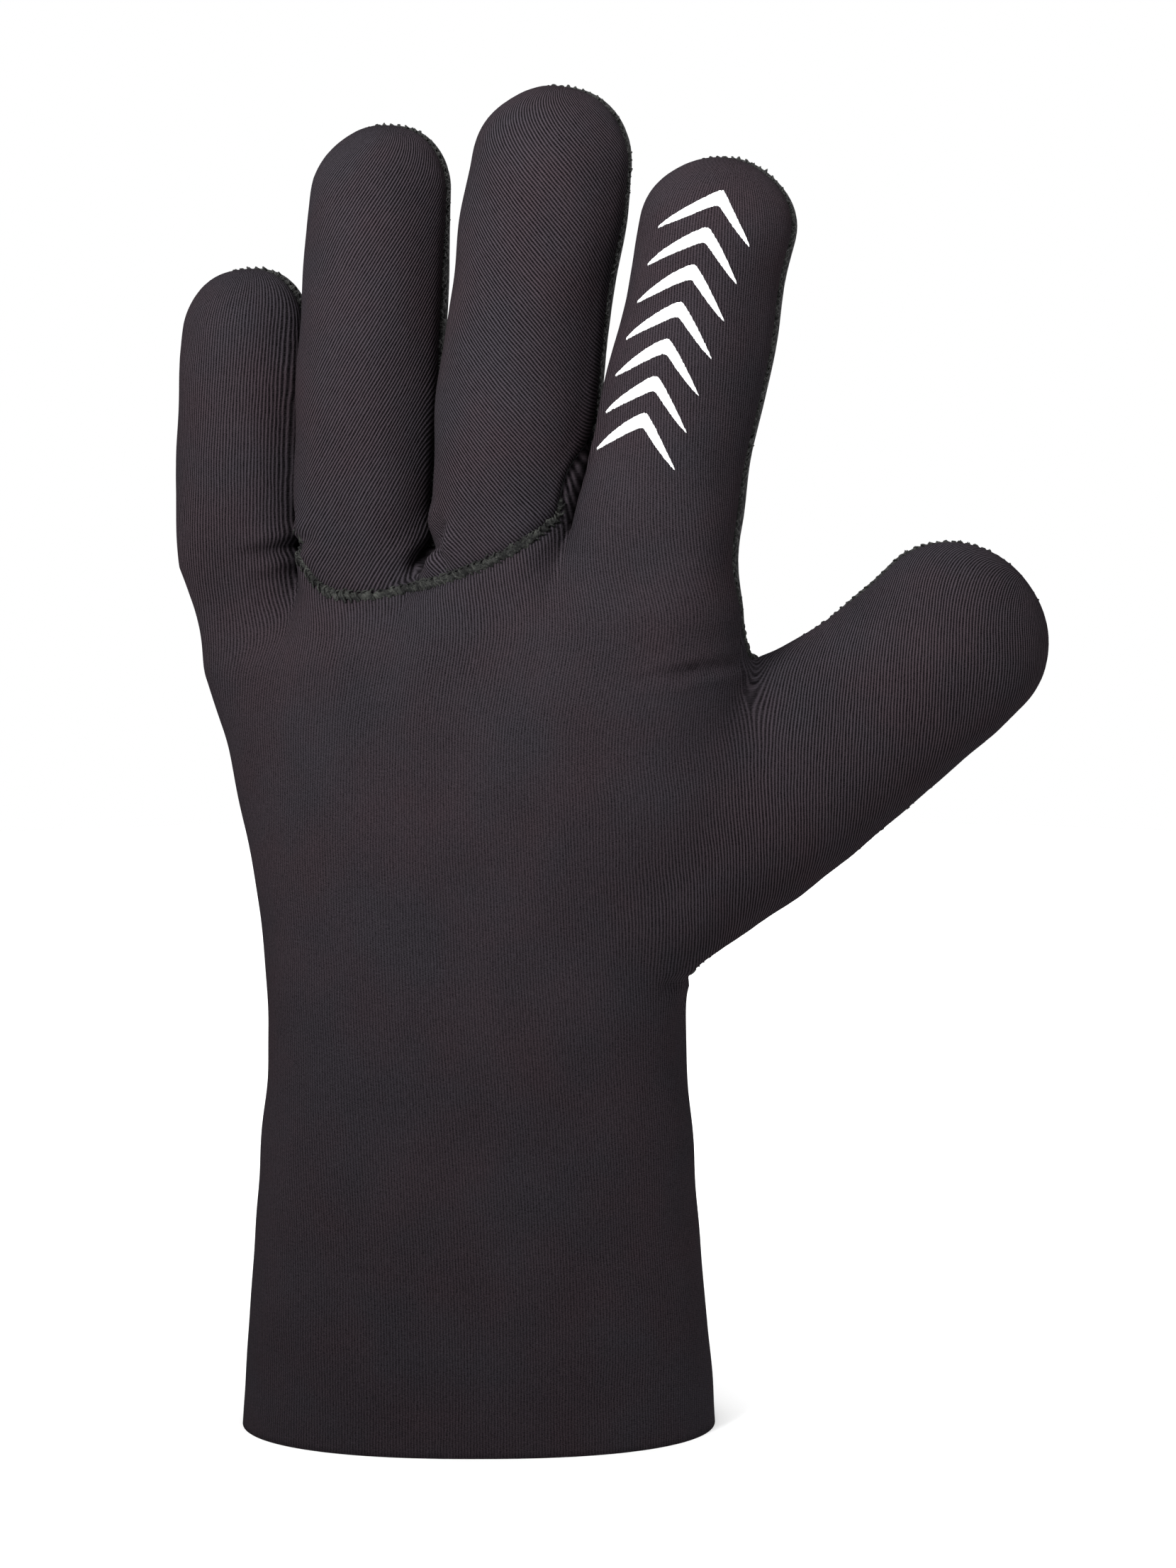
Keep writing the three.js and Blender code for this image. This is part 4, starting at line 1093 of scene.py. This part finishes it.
def jersey_finish():
    """Smooth nylon jersey, nearly black with a warm cast: fine ribs crossed by slanting stitches, painted shade
    in the grooves between the ribs, streaks of lighter yarn, warmer and cooler patches, and specks of lint."""
    made = Finish("jersey")
    cloth = made.cloth()
    ribs, across, along, crisp = rib_wave(made, cloth)
    ribs = made.sum("MULTIPLY_ADD", made.sum("SUBTRACT", ribs, 0.5), crisp, 0.5)
    streak = made.between(made.noise(made.scaled(cloth, (2.6, 0.5, 0)), 1.0, 3.0, 0.6), 0.3, 0.7)
    grain = made.between(made.noise(made.scaled(cloth, (3.2, 2.4, 0)), 1.0, 2.0, 0.7), 0.28, 0.72)
    patch = made.between(made.noise(made.place(), 60.0, 3.0, 0.55), 0.3, 0.7)
    slant = made.sum("MULTIPLY_ADD", across, 0.5 / rib_pitch, made.sum("DIVIDE", along, stitch_pitch))
    knit = made.sum("SINE", made.sum("MULTIPLY", slant, 2 * math.pi))
    # Low between the ribs and high on them: the dark grooves are painted shade
    light = made.sum("MULTIPLY_ADD", made.sum("POWER", ribs, 1.5), 0.8, -0.1)
    light = made.sum("MULTIPLY_ADD", streak, 0.14, light)
    light = made.sum("MULTIPLY_ADD", grain, made.sum("MULTIPLY_ADD", crisp, -0.25, 0.45), light)
    light = made.sum("MULTIPLY_ADD", crisp, 0.1, made.sum("SUBTRACT", light, 0.1))
    light = made.sum("MULTIPLY_ADD", patch, 0.06, light)
    light = made.sum("MULTIPLY_ADD", knit, 0.05, light)
    tone = made.between(made.noise(made.place(), 34.0, 3.0, 0.6), 0.36, 0.64)
    yarn = made.mix(tone, (0.0365, 0.0275, 0.0322, 1), (0.0322, 0.0282, 0.0335, 1))
    # Where light is low, between the ribs, the colour goes nearly black: painted shade in the grooves
    color = made.mix(light, (0.0011, 0.0010, 0.0012, 1), yarn)
    lint = made.noise(made.scaled(cloth, (0.9, 0.55, 0)), 1.0, 6.0, 0.85)
    color = made.mix(made.between(lint, 0.735, 0.785), color, (0.075, 0.07, 0.068, 1))
    height = made.sum("MULTIPLY_ADD", grain, 0.5, made.sum("MULTIPLY", ribs, 0.9))
    normal = made.bumped(height, 0.00016)
    return made.done(color, 0.8, normal, 0.004, 0.45, (1.0, 0.9, 0.88, 1), 0.0)


def grip_finish():
    """The palm's rough grip cloth: black, with a pebbled face and slightly shiny crowns; the crowns' lighter
    colour is a painted highlight and the darker hollows between them painted shade.
    """
    made = Finish("grip")
    place = made.place()
    cells = made.add("ShaderNodeTexVoronoi", {"Vector": place, "Scale": 820.0, "Randomness": 0.85})
    crown = made.between(cells.outputs["Distance"], 0.75, 0.05)
    grain = made.noise(place, 2600.0, 3.0, 0.6)
    patch = made.between(made.noise(place, 48.0, 3.0, 0.5), 0.3, 0.7)
    # Lighter on the crowns, darker in the hollows: painted highlight and painted shade
    light = made.sum("MULTIPLY_ADD", crown, 0.45, made.sum("MULTIPLY", patch, 0.35))
    light = made.sum("MULTIPLY_ADD", grain, 0.25, light)
    color = made.mix(light, (0.002, 0.002, 0.0021, 1), (0.0165, 0.0158, 0.0166, 1))
    height = made.sum("MULTIPLY_ADD", grain, 0.35, crown)
    return made.done(color, made.between(crown, 2.2, -0.4), made.bumped(height, 0.00035), specular=0.1)


def lining_finish():
    """The smooth inner jersey: dark grey, finely knitted, with painted shade between its ribs."""
    made = Finish("lining")
    cloth = made.cloth()
    ribs = rib_wave(made, cloth)[0]
    grain = made.noise(made.scaled(cloth, (3.0, 2.0, 0)), 1.0, 2.0, 0.6)
    # Darker between the ribs: painted shade in the grooves
    light = made.sum("MULTIPLY_ADD", ribs, 0.5, made.sum("MULTIPLY", grain, 0.6))
    color = made.mix(light, (0.008, 0.008, 0.009, 1), (0.035, 0.034, 0.038, 1))
    return made.done(color, 0.85, made.bumped(ribs, 0.00008), 0.15, 0.5)


def foam_finish():
    """Cut neoprene foam: black, full of fine closed cells, their pits darkened with painted shade."""
    made = Finish("cut_foam")
    place = made.place()
    cells = made.add("ShaderNodeTexVoronoi", {"Vector": place, "Scale": 2600.0})
    pores = made.between(cells.outputs["Distance"], 0.1, 0.8)
    patch = made.noise(place, 700.0, 3.0, 0.6)
    # Darker in the middle of each cell: painted shade in the pits of the cut cells
    color = made.mix(made.sum("MULTIPLY", pores, patch), (0.008, 0.008, 0.009, 1), (0.05, 0.05, 0.055, 1))
    return made.done(color, 0.75, made.bumped(pores, 0.00015))


def film_finish():
    """Matt white print on the jersey: the ribs still show through it, greyer between them as painted shade, and
    it is worn thin in spots.
    """
    made = Finish("film")
    cloth = made.cloth()
    ribs = rib_wave(made, cloth)[0]
    worn = made.between(made.noise(made.scaled(cloth, (1.6, 0.9, 0)), 1.0, 4.0, 0.7), 0.66, 0.74)
    # Grey between the ribs, white on them: painted shade in the grooves
    shade = made.mix(ribs, (0.66, 0.66, 0.66, 1), (0.84, 0.84, 0.84, 1))
    color = made.mix(made.sum("MULTIPLY", worn, 0.35), shade, (0.25, 0.24, 0.25, 1))
    return made.done(color, 0.62, made.bumped(ribs, 0.00008), specular=0.35)


def thread_finish(name, dark, light, specks):
    """Sewing thread and the raw fibres round it: dark and rough, its near-black partly painted shade, its
    lighter fibres partly painted highlights, and light specks that are partly fibres and partly painted glints.
    """
    made = Finish(name)
    place = made.place()
    fibre = made.noise(place, 2400.0, 4.0, 0.75)
    patch = made.noise(place, 420.0, 2.0, 0.6)
    share = made.between(made.sum("MULTIPLY_ADD", fibre, 0.7, made.sum("MULTIPLY", patch, 0.6)), 0.6, 0.82)
    # The light colour is partly lighter fibres and partly a painted highlight; the near-black one partly
    # painted shade
    color = made.mix(share, (*dark, 1), (*light, 1))
    # Light specks: partly stray light fibres, partly painted glints
    color = made.mix(made.between(fibre, 0.7 - specks, 0.8 - specks), color, (0.09, 0.095, 0.085, 1))
    return made.done(color, 0.6, made.bumped(fibre, 0.0005), specular=0.22)


finishes = dict(
    jersey=jersey_finish(), grip=grip_finish(), lining=lining_finish(),
    foam=foam_finish(), film=film_finish(),
    # Each thread's first colour is partly painted shade, its second partly a painted highlight
    side_thread=thread_finish("side_thread", (0.0006, 0.0006, 0.0006), (0.022, 0.0225, 0.020), 0.0),
    arc_thread=thread_finish("arc_thread", (0.0006, 0.0007, 0.0006), (0.042, 0.044, 0.039), 0.03),
)


def make_glove():
    """All the glove's pieces."""
    shell = fine_skin()
    jersey = [finishes["jersey"], finishes["lining"], finishes["foam"]]
    grip = [finishes["grip"], finishes["lining"], finishes["foam"]]
    panel("back_panel_cloth", "back_panel", back_panel, shell, jersey)
    panel("middle_ring_cloth", "middle_ring_panel", middle_panel, shell, jersey)
    panel("palm_cloth", "palm_panel", palm_panel, shell, grip)
    for number in range(chevron_count):
        chevron(number, finishes["film"])

    side = side_seam()
    sewn = dict(line=side, pitch=1.7, finish=finishes["side_thread"])
    seam_bead("side_seam_rope", wide=2.3, high=0.85, seed=1, **sewn)
    seam_thread("side_seam_thread", wide=2.5, high=0.9, thick=0.42, seed=2, **sewn)

    start = (0, 26, palm_seam_z)
    palm_end = crossing_seam(lambda p: p[..., 2] - palm_seam_z, start, lambda p: palm_side(p) < 0)
    sewn = dict(line=palm_end, pitch=1.7, finish=finishes["side_thread"])
    seam_bead("palm_end_rope", wide=2.2, high=0.7, seed=3, **sewn)
    seam_thread("palm_end_thread", wide=2.4, high=0.8, thick=0.5, seed=4, **sewn)

    middle_x = (gap_x(0, knuckle_z) + gap_x(2, knuckle_z)) / 2

    def hidden(p):
        return p[:, 2] > np.where(p[:, 0] < middle_x, arc_ends[0], arc_ends[1])

    arc = crossing_seam(middle_panel_field, (middle_x, -20, knuckle_z), hidden)
    sewn = dict(line=arc, pitch=1.6, finish=finishes["arc_thread"])
    seam_bead("knuckle_seam_rope", wide=2.4, high=0.95, seed=5, **sewn)
    seam_thread("knuckle_seam_thread", wide=2.5, high=1.05, thick=0.4, seed=6, **sewn)
    seam_thread("knuckle_seam_loops", wide=1.1, high=0.35, thick=0.3, seed=7, aside=-1.5, **sewn)


def make_stage():
    """A plain pale floor, soft studio light and the camera at the photograph's angle."""
    scene = bpy.context.scene
    scene.view_settings.view_transform = "Standard"
    radius, sides = 0.9, 64
    turns = 2 * np.pi * np.arange(sides) / sides
    rim = np.stack([radius * np.cos(turns), radius * np.sin(turns), np.zeros(sides)], axis=1)
    mesh = bpy.data.meshes.new("floor")
    mesh.from_pydata(rim.tolist(), [], [list(range(sides))])
    floor = bpy.data.objects.new("floor", mesh)
    scene.collection.objects.link(floor)
    pale = Finish("pale_floor")
    mesh.materials.append(pale.done((0.8, 0.8, 0.8, 1), 0.9, specular=0.1))

    world = bpy.data.worlds.new("studio")
    world.use_nodes = True
    world.node_tree.nodes["Background"].inputs["Color"].default_value = (1, 1, 1, 1)
    world.node_tree.nodes["Background"].inputs["Strength"].default_value = 1.0
    scene.world = world

    fingers_middle = Vector((-0.005, -0.003, 0.26))
    lamp = bpy.data.lights.new("key", "SPOT")
    lamp.energy, lamp.shadow_soft_size = 150, 0.16
    lamp.spot_size, lamp.spot_blend = 24 * degrees, 1
    key = bpy.data.objects.new("key", lamp)
    key.location = Vector((-0.5, -0.75, 0.65))
    key.rotation_euler = (key.location - fingers_middle).to_track_quat("Z", "Y").to_euler()
    scene.collection.objects.link(key)

    sun = bpy.data.lights.new("ceiling", "SUN")
    sun.energy, sun.angle = 2.5, 60 * degrees
    ceiling = bpy.data.objects.new("ceiling", sun)
    ceiling.rotation_euler = (5 * degrees, 0, 0)
    scene.collection.objects.link(ceiling)

    elevation = 8 * degrees
    frame_middle = Vector((24.1, 0, 142)) + Vector(from_wrist_to_origin)
    focal_pixels, photo_height = 6500, 2212
    back = Vector((0, -math.cos(elevation), math.sin(elevation)))
    lens = bpy.data.cameras.new("camera")
    lens.sensor_width, lens.lens = 36, 36 * focal_pixels / photo_height
    lens.clip_start, lens.clip_end = 0.05, 60
    camera = bpy.data.objects.new("camera", lens)
    camera.location = frame_middle * to_metres + back
    camera.rotation_euler = back.to_track_quat("Z", "Y").to_euler()
    scene.collection.objects.link(camera)
    scene.camera = camera


make_glove()
make_stage()
